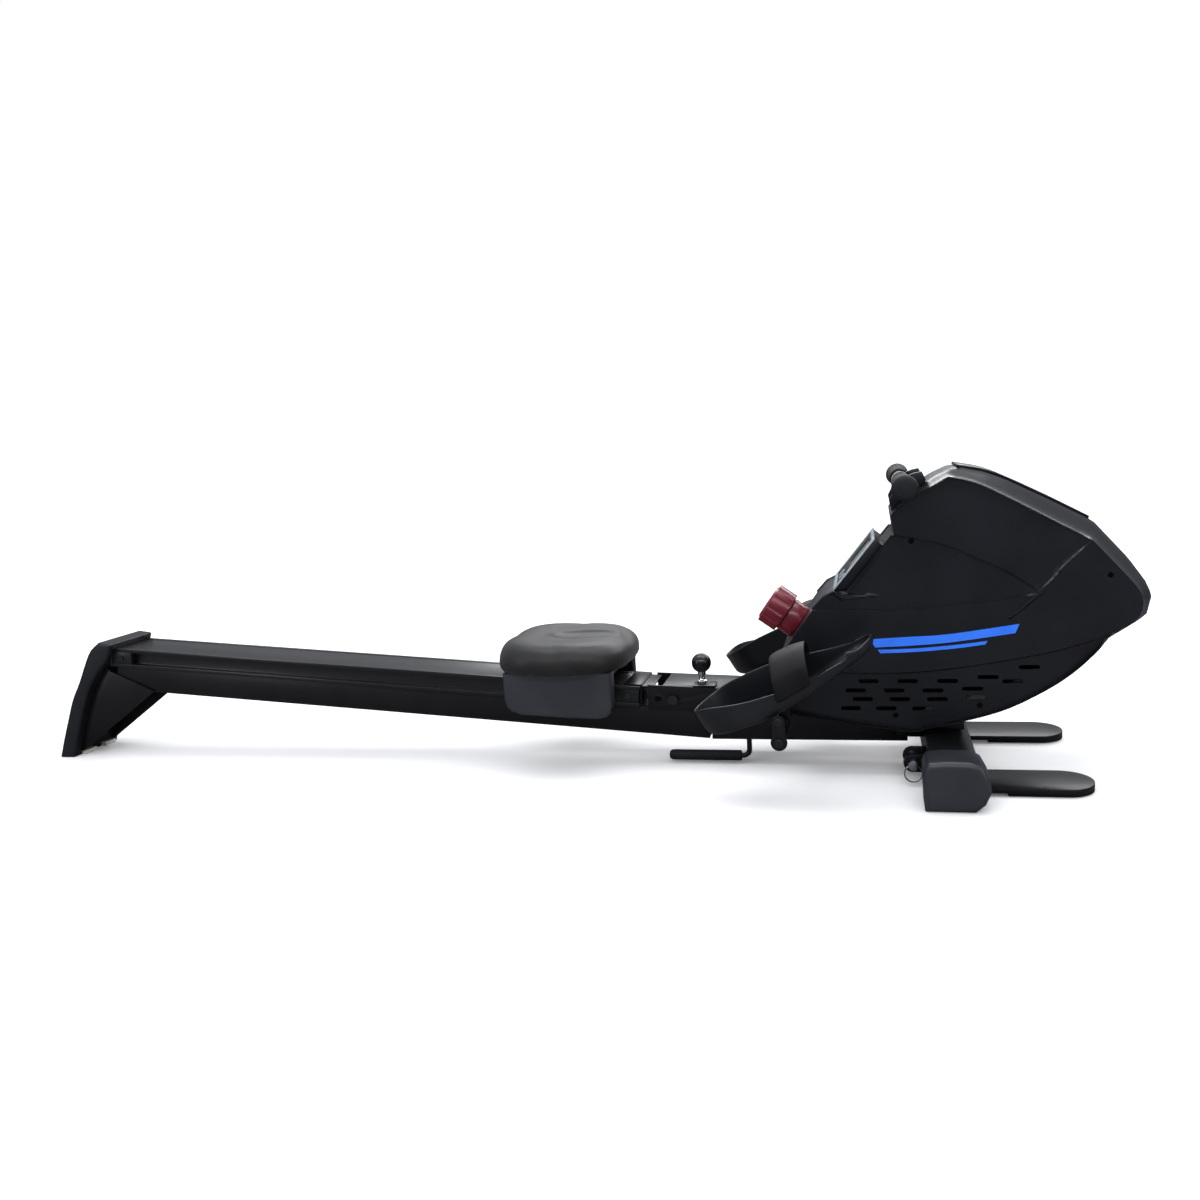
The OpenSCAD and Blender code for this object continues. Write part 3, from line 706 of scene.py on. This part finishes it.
def shell_cutters():
    bm = bmesh.new()
    for x0, pitch, count, z0 in SLOT_ROWS:
        for k in range(count):
            x = x0 + k * pitch
            lift = 0.00125 * (x - 720) ** 2 if x > 720 else 0
            extruded(bm, slot_outline(x, z0 + lift), -120, -60)
    for x, z, depth in SCREW_SPOTS:
        extruded(bm, round_outline(x, z, 4.6), -120, -80)
    extruded(bm, [(655, 440), (685, 440), (685, 500), (655, 500)], -18, 5)
    extruded(bm, [(440, 60), (668, 60), (668, 98.6), (440, 98.6)], -46, 5)
    extruded(bm, round_outline(465, 107, 9.4), -130, 5)
    bmesh.ops.recalc_face_normals(bm, faces=bm.faces)
    return bm


def with_modifiers(bm, setup):
    """The bmesh again after a few modifiers are applied to it."""
    holder = placed("work", bm)
    setup(holder)
    bpy.context.view_layer.update()
    seen = holder.evaluated_get(bpy.context.evaluated_depsgraph_get())
    result = bmesh.new()
    result.from_mesh(seen.to_mesh())
    dropped(holder)
    return result


def carve(bm, cutter_bm, wall_mm):
    """Gives an open shell its wall, then cuts the holes through it."""
    cutter = placed("cutter", cutter_bm)

    def setup(holder):
        wall = holder.modifiers.new("wall", "SOLIDIFY")
        wall.thickness, wall.offset, wall.use_even_offset = wall_mm * MM, -1, False
        cut = holder.modifiers.new("cut", "BOOLEAN")
        cut.operation, cut.solver, cut.object = "DIFFERENCE", "EXACT", cutter

    result = with_modifiers(bm, setup)
    dropped(cutter)
    return result


bevel_where(shell, 1.5, 3, folds_by(24))
carved = carve(shell, shell_cutters(), 3.0)
print("carved half shell:", len(carved.faces), "faces")

# %% Left and right housing
other = flipped(carved)
make_piece("housing_shell_left", carved, ["housing_left"], black_abs, 30, recalculate=False)
make_piece("housing_shell_right", other, ["housing_right"], black_abs, 30, recalculate=False)
print("housing halves placed")


# %% [markdown]
# A pair of plain tapered stripes in blue vinyl brightens each side. They follow the bulge of the
# side a third of a millimetre above it, as a transfer does.


# %% Side stripe and sunk screws
VINYL_STANDS_OUT = 0.35


def vinyl(name, dark, light):
    material, tree, shader, place = start_material(name, {"IOR": 1.5})
    cloud = add(tree, "ShaderNodeTexNoise", {"Scale": 1000 / 30, "Detail": 4}, {"Vector": place})
    two_tone(tree, shader, cloud.outputs["Fac"], dark, light)
    vary_roughness(tree, shader, cloud.outputs["Fac"], 0.3, 0.4)
    return material


def side_stripe(bm, upper, lower):
    depths = [-VINYL_STANDS_OUT] * len(upper)
    lofted(bm, [on_side(row_between(upper, lower, k / 4), depths) for k in range(5)])


blue_vinyl = vinyl("gloss_blue_vinyl", "#1566e2", "#1f70ea")
stripes = bmesh.new()
side_stripe(stripes, smooth_path([(606, 236), (660, 239), (730, 243), (838, 258)], 24),
            smooth_path([(614, 222), (660, 224), (730, 229), (832, 243)], 24))
side_stripe(stripes, smooth_path([(618, 218), (680, 220), (740, 225), (790, 231)], 24),
            smooth_path([(622, 212), (680, 214), (740, 219), (786, 225)], 24))
turn_outwards(stripes, at(745, 0, 240))
mirrored(stripes)
make_piece("side_stripes", stripes, [], blue_vinyl, body="frame", recalculate=False)


def turned(bm, profile, centre, axis, count=40):
    """Spins a profile of (radius, height) pairs, in mm, round an axis through a place."""
    axis = Vector(axis).normalized()
    side = axis.orthogonal().normalized()
    verts = [bm.verts.new(Vector(centre) * MM + side * r * MM + axis * h * MM) for r, h in profile]
    edges = [bm.edges.new(pair) for pair in zip(verts, verts[1:])]
    bmesh.ops.spin(bm, geom=verts + edges, cent=Vector(centre) * MM, axis=axis, angle=math.tau,
                   steps=count, use_merge=True)
    bmesh.ops.remove_doubles(bm, verts=bm.verts, dist=0.004 * MM)


screws = bmesh.new()
for x, z, depth in SCREW_SPOTS:
    y = SIDE_Y - bulge(x, z) + depth
    turned(screws, [(0, 1.2), (1.6, 1.2), (1.9, 0.2), (2.0, 0.0), (3.9, 0.0), (4.3, 0.5), (4.4, 3.0),
                    (0, 3.0)], (x, y + 1.0, z), (0, 1, 0), 20)
mirrored(screws)
make_piece("sunk_housing_screws", screws, ["housing_screws"], black_oxide)
print("stripe and", 2 * len(SCREW_SPOTS), "screws placed")

# %% [markdown]
# ## Steel and aluminium
# Cut and bent metal keeps its CAD shape, but its edges are never perfectly sharp: a small bevel
# catches the light, and it is what the eye reads as a real edge.

# %% Frame, rail and plates
for name, node, width, finish in (
        ("rail_profile", "rail_track", 1.6, anodised), ("rail_box_tube", "rail_beam", 2.0, powder_steel),
        ("front_box_tube", "front_beam", 2.4, powder_steel),
        ("hinge_channel", "hinge_bracket", 0.9, powder_steel),
        ("rail_hinge_lugs", "rail_lugs", 0.8, powder_steel), ("seat_stop", "stop_plate", 0.8, powder_steel),
        ("rear_gussets", "rear_foot_gusset", 0.8, powder_steel),
        ("wheel_mast", "mast_plates", 0.8, powder_steel),
        ("stabiliser_saddle_plates", "stabiliser_saddle", 0.9, powder_steel),
        ("floor_tongues", "floor_plates", 1.6, powder_steel),
        ("tongue_pads", "floor_plate_pads", 1.8, black_rubber),
        ("locking_pin_lugs", "pin_lugs", 0.8, powder_steel),
        ("pedal_link_plates", "pedal_links", 0.7, powder_steel),
        ("lock_base_plate", "lock_base", 0.8, powder_steel),
        ("carriage_plates", "seat_carriage", 0.8, powder_steel),
        ("rail_end_covers", "rail_end_plates", 0.9, dark_acetal),
        ("console_body", "console_case", 0.5, black_abs), ("console_rim", "console_bezel", 1.0, silver_paint),
        ("handle_rests", "handle_cradle", 1.8, black_abs), ("knob_base", "knob_collar", 2.0, maroon_abs),
        ("magnet_carrier", "magnet_arm", 0.7, turned_steel)):
    eased(name, node, width, finish)

# %% Raised strip on the crown
crown_strip = bmesh.new()
over = smooth_path([(749, 514.6), (791, 505.2), (822, 492.2), (884, 459.2), (948, 422.6)], 26)
extruded(crown_strip, [tuple(p) for p in over] + [(p.x - 1, p.y - 4.5) for p in reversed(over)], -57, 57)
bmesh.ops.recalc_face_normals(crown_strip, faces=crown_strip.faces)
bevel_where(crown_strip, 1.2, 2, folds_by(60))
make_piece("crown_strip", crown_strip, ["top_cover"], black_abs, 40)
print("crown strip placed")

# %% Turned and small CAD parts keep their shape and take a finish
coat(dark_chrome, "hinge_pin", "pedal_bolts")
coat(turned_steel, "wheel_axles", "roller_axles")
coat(dark_chrome, "rail_screws")
coat(cast_iron, "flywheel")
coat(dark_acetal, "drive_pulley", "strap_spool", "guide_roller", "recoil_spring_case", "front_rollers",
     "rear_rollers")
coat(black_rubber, "drive_belt")
coat(strap_web, "strap_run")
coat(powder_steel, "pedal_crossbar", "handle_bar", "stabiliser_tube")
coat(display_glass, "console_screen")
coat(silver_paint, "console_button_left", "console_button_right")
coat(pale_rubber, "rear_foot_pads")
print("coated CAD parts done")


# %% [markdown]
# ## Moulded end caps and rear foot
# The stabiliser's caps and the strip under the rail's rear end are thick polypropylene mouldings
# with generous radii. A prism with a wide rounded edge on its outer end gives that in two steps.


# %% End caps and rear foot strip
def end_cap(bm):
    outline = [(682, 0), (756, 0), (770, 12), (779, 32), (776, 54), (766, 73), (748, 79), (712, 80),
               (686, 77), (680, 64)]
    extruded(bm, outline, -200, -269)
    bmesh.ops.recalc_face_normals(bm, faces=bm.faces)
    end_y = -268.9 * MM
    bevel_where(bm, 9, 4, lambda e: all(v.co.y < end_y for v in e.verts))
    bevel_where(bm, 3, 3, lambda e: folds_by(40)(e) and all(v.co.z > 0.01 for v in e.verts))


caps = bmesh.new()
end_cap(caps)
mirrored(caps)
make_piece("rounded_end_caps", caps, ["stabiliser_end_caps"], end_cap_plastic, 40)

strip_bm = bmesh.new()
strip_path = smooth_path([(-1009, 0), (-999, 30), (-987, 64), (-971, 104), (-950, 146), (-925, 180),
                          (-898, 207), (-886, 238)], 22)
back_path = smooth_path([(-1044, 0), (-1032, 34), (-1016, 74), (-996, 122), (-974, 159), (-957, 192),
                         (-938, 224), (-915, 242)], 22)
extruded(strip_bm, [tuple(p) for p in strip_path] + [tuple(p) for p in reversed(back_path)], -67.5, 67.5)
bmesh.ops.recalc_face_normals(strip_bm, faces=strip_bm.faces)
bevel_where(strip_bm, 4.5, 4, lambda e: folds_by(45)(e) and max(v.co.z for v in e.verts) > 0.002)
make_piece("rear_foot_moulding", strip_bm, ["rear_foot_strip"], foot_plastic, 40)
print("end caps and foot strip placed")

# %% [markdown]
# ## Pedals
# A pedal is a deep, boat-shaped shell: round at the heel, with walls that fall away to the toe.
# A loft from a flat outline would need an even height, so here one ring of edges is extruded
# upwards a few times, and each ring's height follows the wall's own profile.

# %% Pedal frame and profiles
PIVOT = (465, 140)
PEDAL_Y = -210
TILT = math.radians(30.5)


def on_pedal(u, v, w):
    """A place on the left pedal: u towards the toes, v across, w up from the sole, in mm."""
    return at(PIVOT[0] + u * math.cos(TILT) - w * math.sin(TILT), PEDAL_Y + v,
              PIVOT[1] + u * math.sin(TILT) + w * math.cos(TILT))


def profile(points, u):
    """Height at u on a smooth line through (u, height) points."""
    line = smooth_path(points, 60)
    for a, b in zip(line, line[1:]):
        if a.x <= u <= b.x:
            return a.y + (b.y - a.y) * (u - a.x) / max(b.x - a.x, 1e-6)
    return line[0].y if u < line[0].x else line[-1].y


def pedal_outline(inset, count=40):
    """The two sides of the plan outline from heel to toe, as (u, v) points."""
    heel, toe = 52 - inset, 40 - inset
    turn = math.asin((heel - toe) / 214)
    arc = [(-66 - heel * math.cos(a), heel * math.sin(a))
           for a in [k / 12 * (math.pi / 2 + turn) for k in range(13)]]
    tip = [(148 + toe * math.sin(a), toe * math.cos(a))
           for a in [turn + k / 12 * (math.pi / 2 - turn) for k in range(13)]]
    one = evenly(arc + tip, count)
    return one, [Vector((p.x, -p.y)) for p in one]


SOLE = [(-130, 34), (-110, 27), (-60, 17), (-8, 8), (86, 10), (190, 21)]
OUTER_WALL = [(-120, 76), (-87, 74), (-35, 54), (13, 41), (60, 30), (115, 29), (180, 27)]
INNER_WALL = [(-125, 74), (-52, 78), (32, 69), (70, 58), (129, 40), (180, 27)]
print("sole at the ball of the foot:", round(profile(SOLE, 60), 1), "mm")


# %% Pedal shells
def wall_top(u, v):
    share = 0.5 + v / 104
    share = clamp(share * share * (3 - 2 * share))
    return profile(OUTER_WALL, u) * (1 - share) + profile(INNER_WALL, u) * share


def pedal_shell():
    bm = bmesh.new()
    upper, lower = pedal_outline(11)
    count = 12
    rows = []
    for r in range(count + 1):
        places = []
        for k, p in enumerate(row_between(upper, lower, r / count)):
            rib = 1.1 if k % 2 and 16 < k < 36 and 1 < r < count - 1 else 0
            places.append(on_pedal(p.x, p.y, profile(SOLE, p.x) + rib))
        rows.append(places)
    lofted(bm, rows)
    bmesh.ops.remove_doubles(bm, verts=bm.verts, dist=0.05 * MM)
    ring = [e for e in bm.edges if e.is_boundary]
    tilt_back = Matrix.Rotation(TILT, 3, "Y")
    for inset, low, share in ((5, 2.0, 0), (1, 7.0, 0), (0, 13.0, 0), (0, 13.0, 0.35), (0, 13.0, 0.7),
                              (-0.6, 13.0, 0.97), (-0.6, 13.0, 1.0)):
        verts, ring = grown(bm, ring)
        for v in verts:
            local = tilt_back @ (v.co - at(PIVOT[0], PEDAL_Y, PIVOT[1])) / MM
            spot = Vector((local.x, local.y))
            heart = Vector((clamp(spot.x, -66, 148), 0))
            away = spot - heart
            reach = 52 - 12 * (heart.x + 66) / 214 - inset
            spot = heart + away.normalized() * reach
            bottom = profile(SOLE, spot.x) + low
            v.co = on_pedal(spot.x, spot.y, bottom + max(wall_top(spot.x, spot.y) - bottom, 0) * share)
    turn_outwards(bm, on_pedal(40, 0, 60))
    return bm


def with_wall(piece, wall_mm):
    """A live wall thickness and one smoothing, which also rounds the open rim."""
    wall = piece.modifiers.new("wall", "SOLIDIFY")
    wall.thickness, wall.offset, wall.use_even_offset = wall_mm * MM, -1, True
    soft = piece.modifiers.new("soft", "SUBSURF")
    soft.levels = soft.render_levels = 1


def on_both_pedals(name, node, build, material, wall_mm, centre):
    """A moulding on the left pedal and its mirror image on the right one, seen from a centre inside."""
    for side, sign in (("left", 1), ("right", -1)):
        bm = build()
        bmesh.ops.scale(bm, verts=bm.verts, vec=(1, sign, 1))
        turn_outwards(bm, at(centre[0], PEDAL_Y * sign, centre[1]))
        with_wall(make_piece(name + side, bm, [node + side], material, 60, recalculate=False), wall_mm)


on_both_pedals("pedal_tray_", "pedal_", pedal_shell, grey_nylon, 3.2, (PIVOT[0], PIVOT[1] + 60))
print("pedal trays placed")


# %% Foot straps
BAND_WIDTH = 62


def foot_band():
    """A wide rubber band that springs from one wall of the pedal to the other."""
    section = smooth_path([(-50.5, 24), (-51, 48), (-46, 68), (-28, 84), (0, 90), (28, 86), (45, 70),
                           (50.5, 50), (50.5, 24)], 30)
    rows = []
    for r in range(5):
        places = []
        for p in section:
            rise = (p.y - 24) / 66
            u = 12 + BAND_WIDTH * r / 4 + 20 * rise + (3 * math.sin(math.pi * r / 4) * rise)
            drop = 9 * rise * (r / 4) + (2.5 * rise if r in (0, 4) else 0)
            places.append(on_pedal(u, p.x, p.y - drop))
        rows.append(places)
    bm = bmesh.new()
    lofted(bm, rows)
    turn_outwards(bm, on_pedal(45, 0, 40))
    return bm


on_both_pedals("foot_band_", "foot_strap_", foot_band, black_rubber, 2.6, (480, 190))
print("foot straps placed")

# %% [markdown]
# ## Knobs, pins and grips
# Round parts are spun from a profile, as they are turned or moulded in reality.

# %% Tension knob, lock knob, lever and ring pin
eased("tension_knob_fluted", "tension_knob", 1.8, maroon_abs, angle=24, segments=3)

LOCK = (313, -36)
ball = bmesh.new()
turned(ball, [(0, -17.5)] + [(17.5 * math.cos(a), 17.5 * math.sin(a)) for a in
                            [math.radians(d) for d in range(-78, 90, 8)]] + [(0, 17.5)],
       (LOCK[0], LOCK[1], 184), (0, 0, 1), 40)
make_piece("lock_knob_ball", ball, ["lock_knob"], black_ball_resin, 60)
shank = bmesh.new()
turned(shank, [(0, 100), (4.4, 100), (5, 101), (5, 147), (8.5, 147), (9, 148), (9, 152), (8.2, 153),
               (6, 154), (5, 156), (5, 162), (7.4, 163), (7.4, 170), (0, 170)],
       (LOCK[0], LOCK[1], 0), (0, 0, 1), 32)
make_piece("lock_knob_shank", shank, [], chrome, 30, body="lock_knob")

LEVER = (393, -38, 14)


def bent_rod(bm, path, r, count=16):
    """A round rod along a path of places, from rings joined one after another."""
    before = None
    for i, spot in enumerate(path):
        ahead = (path[min(i + 1, len(path) - 1)] - path[max(i - 1, 0)]).normalized()
        ring = bmesh.ops.create_circle(bm, radius=r * MM, segments=count, cap_ends=i in (0, len(path) - 1))
        turn = ahead.to_track_quat("Z", "Y").to_matrix().to_4x4()
        bmesh.ops.transform(bm, matrix=Matrix.Translation(spot) @ turn, verts=ring["verts"])
        edges = list({e for v in ring["verts"] for e in v.link_edges
                      if all(w in ring["verts"] for w in e.verts)})
        if before:
            bmesh.ops.bridge_loops(bm, edges=before + edges)
        before = edges
    bmesh.ops.recalc_face_normals(bm, faces=bm.faces)


rod = bmesh.new()
corner = [at(LEVER[0] - 12 + 12 * math.cos(t), LEVER[1], LEVER[2] + 12 - 12 * math.sin(t))
          for t in [math.radians(a) for a in range(0, 91, 15)]]
bent_rod(rod, [at(LEVER[0], LEVER[1], 49.5)] + corner + [at(LEVER[0] - 140, LEVER[1], LEVER[2])], 4.6)
make_piece("lever_rod", rod, [], powder_steel, 40, body="clamp_lever")
sleeve = bmesh.new()
turned(sleeve, [(0, 14), (6.5, 14), (8.6, 14.6), (9.4, 16.5), (9.4, 136), (8.8, 141), (6.5, 144.6),
                (0, 145.6)], LEVER, (-1, 0, 0), 28)
make_piece("lever_grip", sleeve, ["clamp_lever"], grip_foam, 50)

PIN = (670, 34)
pin = bmesh.new()
turned(pin, [(0, -70), (3.5, -70), (5, -73), (5, -141), (8, -141.6), (8.6, -142.4), (8.6, -145.6),
             (8, -146.6), (0, -147)], (PIN[0], 0, PIN[1]), (0, 1, 0), 28)
ring_place = Vector((PIN[0], -144.4, PIN[1] - 13.5)) * MM
for turn in (-0.9, 0.9):
    circle = bmesh.ops.create_circle(pin, radius=0.95 * MM, segments=10)
    bmesh.ops.transform(pin, matrix=Matrix.Translation(ring_place + Vector((14.2 * MM, turn * MM, 0))),
                        verts=circle["verts"])
    geom = circle["verts"] + list({e for v in circle["verts"] for e in v.link_edges})
    bmesh.ops.spin(pin, geom=geom, cent=ring_place, axis=(0, 1, 0), angle=math.tau, steps=48,
                   use_merge=True)
make_piece("ring_pin_and_ring", pin, ["ring_pin"], chrome, 35)
print("knobs, lever and pin placed")

# %% Handle grips and the pull strap
BAR = (662, 489)
grips = bmesh.new()
turned(grips, [(13.1, 72), (15.6, 72.2), (16.8, 73.6), (17, 76), (16.9, 140), (17, 178), (17.6, 188),
               (19.4, 197), (20.3, 205), (19.6, 212), (16.6, 217), (11, 219.4), (0, 220)],
       (BAR[0], 0, BAR[1]), (0, -1, 0), 40)
mirrored(grips)
make_piece("foam_handle_grips", grips, ["handle_grips"], grip_foam, 50)

ribbon = bmesh.new()
centre_line = smooth_path([(692, 457), (690, 461), (681, 469), (673, 477), (668.5, 483.5)], 16) \
    + [Vector((BAR[0] + 14.2 * math.cos(a), BAR[1] + 14.2 * math.sin(a)))
       for a in [math.radians(d) for d in range(-30, -331, -20)]]
lofted(ribbon, [[at(p.x, side, p.y) for p in centre_line] for side in (-12, -11, 0, 11, 12)])
pull = make_piece("pull_strap_webbing", ribbon, ["pull_strap"], strap_web, 60, rides=False)
thick = pull.modifiers.new("thickness", "SOLIDIFY")
thick.thickness, thick.offset = 1.6 * MM, 0
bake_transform(pull)
print("handle placed")

# %% Bracket plug and bolt sockets
plugs = bmesh.new()
turned(plugs, [(0, 0.4), (4.4, 0.4), (5.6, 0.9), (6.2, 0.2), (6.2, -1.5), (0, -1.5)], (234, -50.6, 121),
       (0, -1, 0), 28)
mirrored(plugs)
make_piece("bracket_plugs", plugs, [], black_oxide, 35, body="frame")
heads = bmesh.new()
for (x, z), y, r in (((261, 120), -50.5, 9), (PIVOT, -266, 7.2), ((465, 107), -266, 7.2)):
    turned(heads, [(0, 1.6), (0.42 * r, 1.6), (0.46 * r, 4.4), (0.8 * r, 4.4), (0.95 * r, 3.4), (r, 1.4),
                   (r, 0), (0, 0)], (x, y, z), (0, -1, 0), 28)
mirrored(heads)
make_piece("bolt_heads", heads, [], dark_chrome, 35, body="frame")
print("bolts placed")

# %% [markdown]
# ## The seat
# The pad is moulded foam under a tough skin, so it is full and round with no flat face. The cloth
# solver blows a block up by at most 3 mm, the block is smoothed, and then it is pressed in where a
# rower sits: a dish, a raised rear and an oval rib in the middle.

# %% Seat pad block
SEAT = (62, 183)


def seat_ring(bm, inset, z, count=72):
    verts = bmesh.ops.create_circle(bm, radius=1, segments=count)["verts"]
    for v in verts:
        a = math.atan2(v.co.y, v.co.x)
        c, d = math.cos(a), math.sin(a)
        power = 2 / 2.9
        v.co = at(SEAT[0] + math.copysign(abs(c) ** power, c) * (126 - inset),
                  math.copysign(abs(d) ** power, d) * (140 - inset), z)
    return list({e for v in verts for e in v.link_edges})


def seat_block():
    bm = bmesh.new()
    before = None
    for inset, z in ((34, 185), (12, 182), (4, 179), (0, 184), (0, 196), (2, 207), (7, 218), (16, 227),
                     (30, 233), (52, 236)):
        edges = seat_ring(bm, inset, z)
        if before:
            bmesh.ops.bridge_loops(bm, edges=before + edges)
        before = edges
    bmesh.ops.holes_fill(bm, edges=[e for e in bm.edges if e.is_boundary])
    bmesh.ops.recalc_face_normals(bm, faces=bm.faces)
    return bm


def pressed_pad(bm):
    """Shapes the top: dish, rear rise and oval rib."""
    for v in bm.verts:
        x, y, z = v.co.x / MM - SEAT[0], v.co.y / MM, v.co.z / MM
        top = clamp((z - 212) / 20)
        rim = math.sqrt((x / 118) ** 2 + (y / 126) ** 2)
        dish = -8.5 * max(0.0, 1 - rim * rim)
        rear = 3.5 * max(0.0, -x / 130)
        front = -7.0 * max(0.0, (x - 20) / 110) ** 1.5
        oval = math.sqrt(((x - 34) / 62) ** 2 + (y / 34) ** 2)
        rib = 3.2 * math.exp(-((oval - 1) / 0.16) ** 2) - 1.8 * math.exp(-(oval / 0.75) ** 4)
        v.co.z += (dish + rear + front + rib) * top * MM
        seam = math.exp(-((z - 187.5) / 1.6) ** 2)
        pull_in = Vector((x, y)).normalized() * -1.3 * seam * MM
        v.co.x += pull_in.x
        v.co.y += pull_in.y


def even_grid(holder):
    grid = holder.modifiers.new("grid", "REMESH")
    grid.mode, grid.voxel_size = "VOXEL", 4.5 * MM


block = seat_block()
gridded = with_modifiers(block, even_grid)
print("seat grid:", len(gridded.verts), "points")


# %% Blow up the pad with the cloth solver, then press the top
def blown_up(bm, travel_mm):
    """The pad after 20 steps of inner pressure, no point moving further than a cap."""
    start = [v.co.copy() for v in bm.verts]
    holder = placed("pad_work", bm)
    cloth = holder.modifiers.new("cloth", "CLOTH")
    cloth.settings.use_pressure = True
    cloth.settings.uniform_pressure_force = 4
    cloth.settings.effector_weights.gravity = 0
    cloth.point_cache.frame_start, cloth.point_cache.frame_end = 1, 20
    for step in range(1, 21):
        scene.frame_set(step)
    seen = holder.evaluated_get(bpy.context.evaluated_depsgraph_get()).to_mesh()
    for v, before, after in zip(bm.verts, start, seen.vertices):
        move = after.co - before
        v.co = before + move.normalized() * min(move.length, travel_mm * MM)
    scene.frame_set(1)
    dropped(holder)


gridded.verts.ensure_lookup_table()
blown_up(gridded, 3)
for _ in range(14):
    bmesh.ops.smooth_vert(gridded, verts=gridded.verts, factor=0.5, use_axis_x=True, use_axis_y=True,
                          use_axis_z=True)
pressed_pad(gridded)
pad = make_piece("seat_cushion", gridded, ["seat_pad"], seat_skin, 180)
finer = pad.modifiers.new("finer", "SUBSURF")
finer.levels = finer.render_levels = 1
print("seat top at", round(max(v.co.z for v in pad.data.vertices) / MM, 1), "mm")


# %% Seat skirt and pan
def skirt_half():
    """One side wall with its returns at front and back, a shell open below and inside."""
    bm = bmesh.new()
    outline = [(-38, 182.4), (-38, 136), (-34, 121), (-24, 111), (-6, 105), (80, 99.5), (136, 98),
               (150, 101), (158, 109), (162, 124), (162, 182.4)]
    extruded(bm, outline, -81, -112)
    bmesh.ops.recalc_face_normals(bm, faces=bm.faces)
    outer = -111.9 * MM
    bevel_where(bm, 7, 4, lambda e: all(v.co.y < outer for v in e.verts)
                and min(v.co.z for v in e.verts) < 0.182)
    open_faces = [f for f in bm.faces if all(abs(v.co.y + 0.081) < 1e-5 for v in f.verts)]
    bmesh.ops.delete(bm, geom=open_faces, context="FACES")
    low = [f for f in bm.faces if f.normal.z < -0.75]
    bmesh.ops.delete(bm, geom=low, context="FACES")
    turn_outwards(bm, at(68, -85, 145))
    return bm


tub = skirt_half()
both = bpy.data.meshes.new("tub_half")
flipped(tub).to_mesh(both)
tub.from_mesh(both)
bpy.data.meshes.remove(both)
extruded(tub, [(-36, 177), (160, 177), (160, 182.4), (-36, 182.4)], -83, 83)
skirt = make_piece("seat_skirt_tub", tub, ["seat_skirt"], end_cap_plastic, 40, recalculate=False)
wall = skirt.modifiers.new("wall", "SOLIDIFY")
wall.thickness, wall.offset = 3.0 * MM, -1
print("skirt placed")

# %% [markdown]

# %% The end
print("scene built")
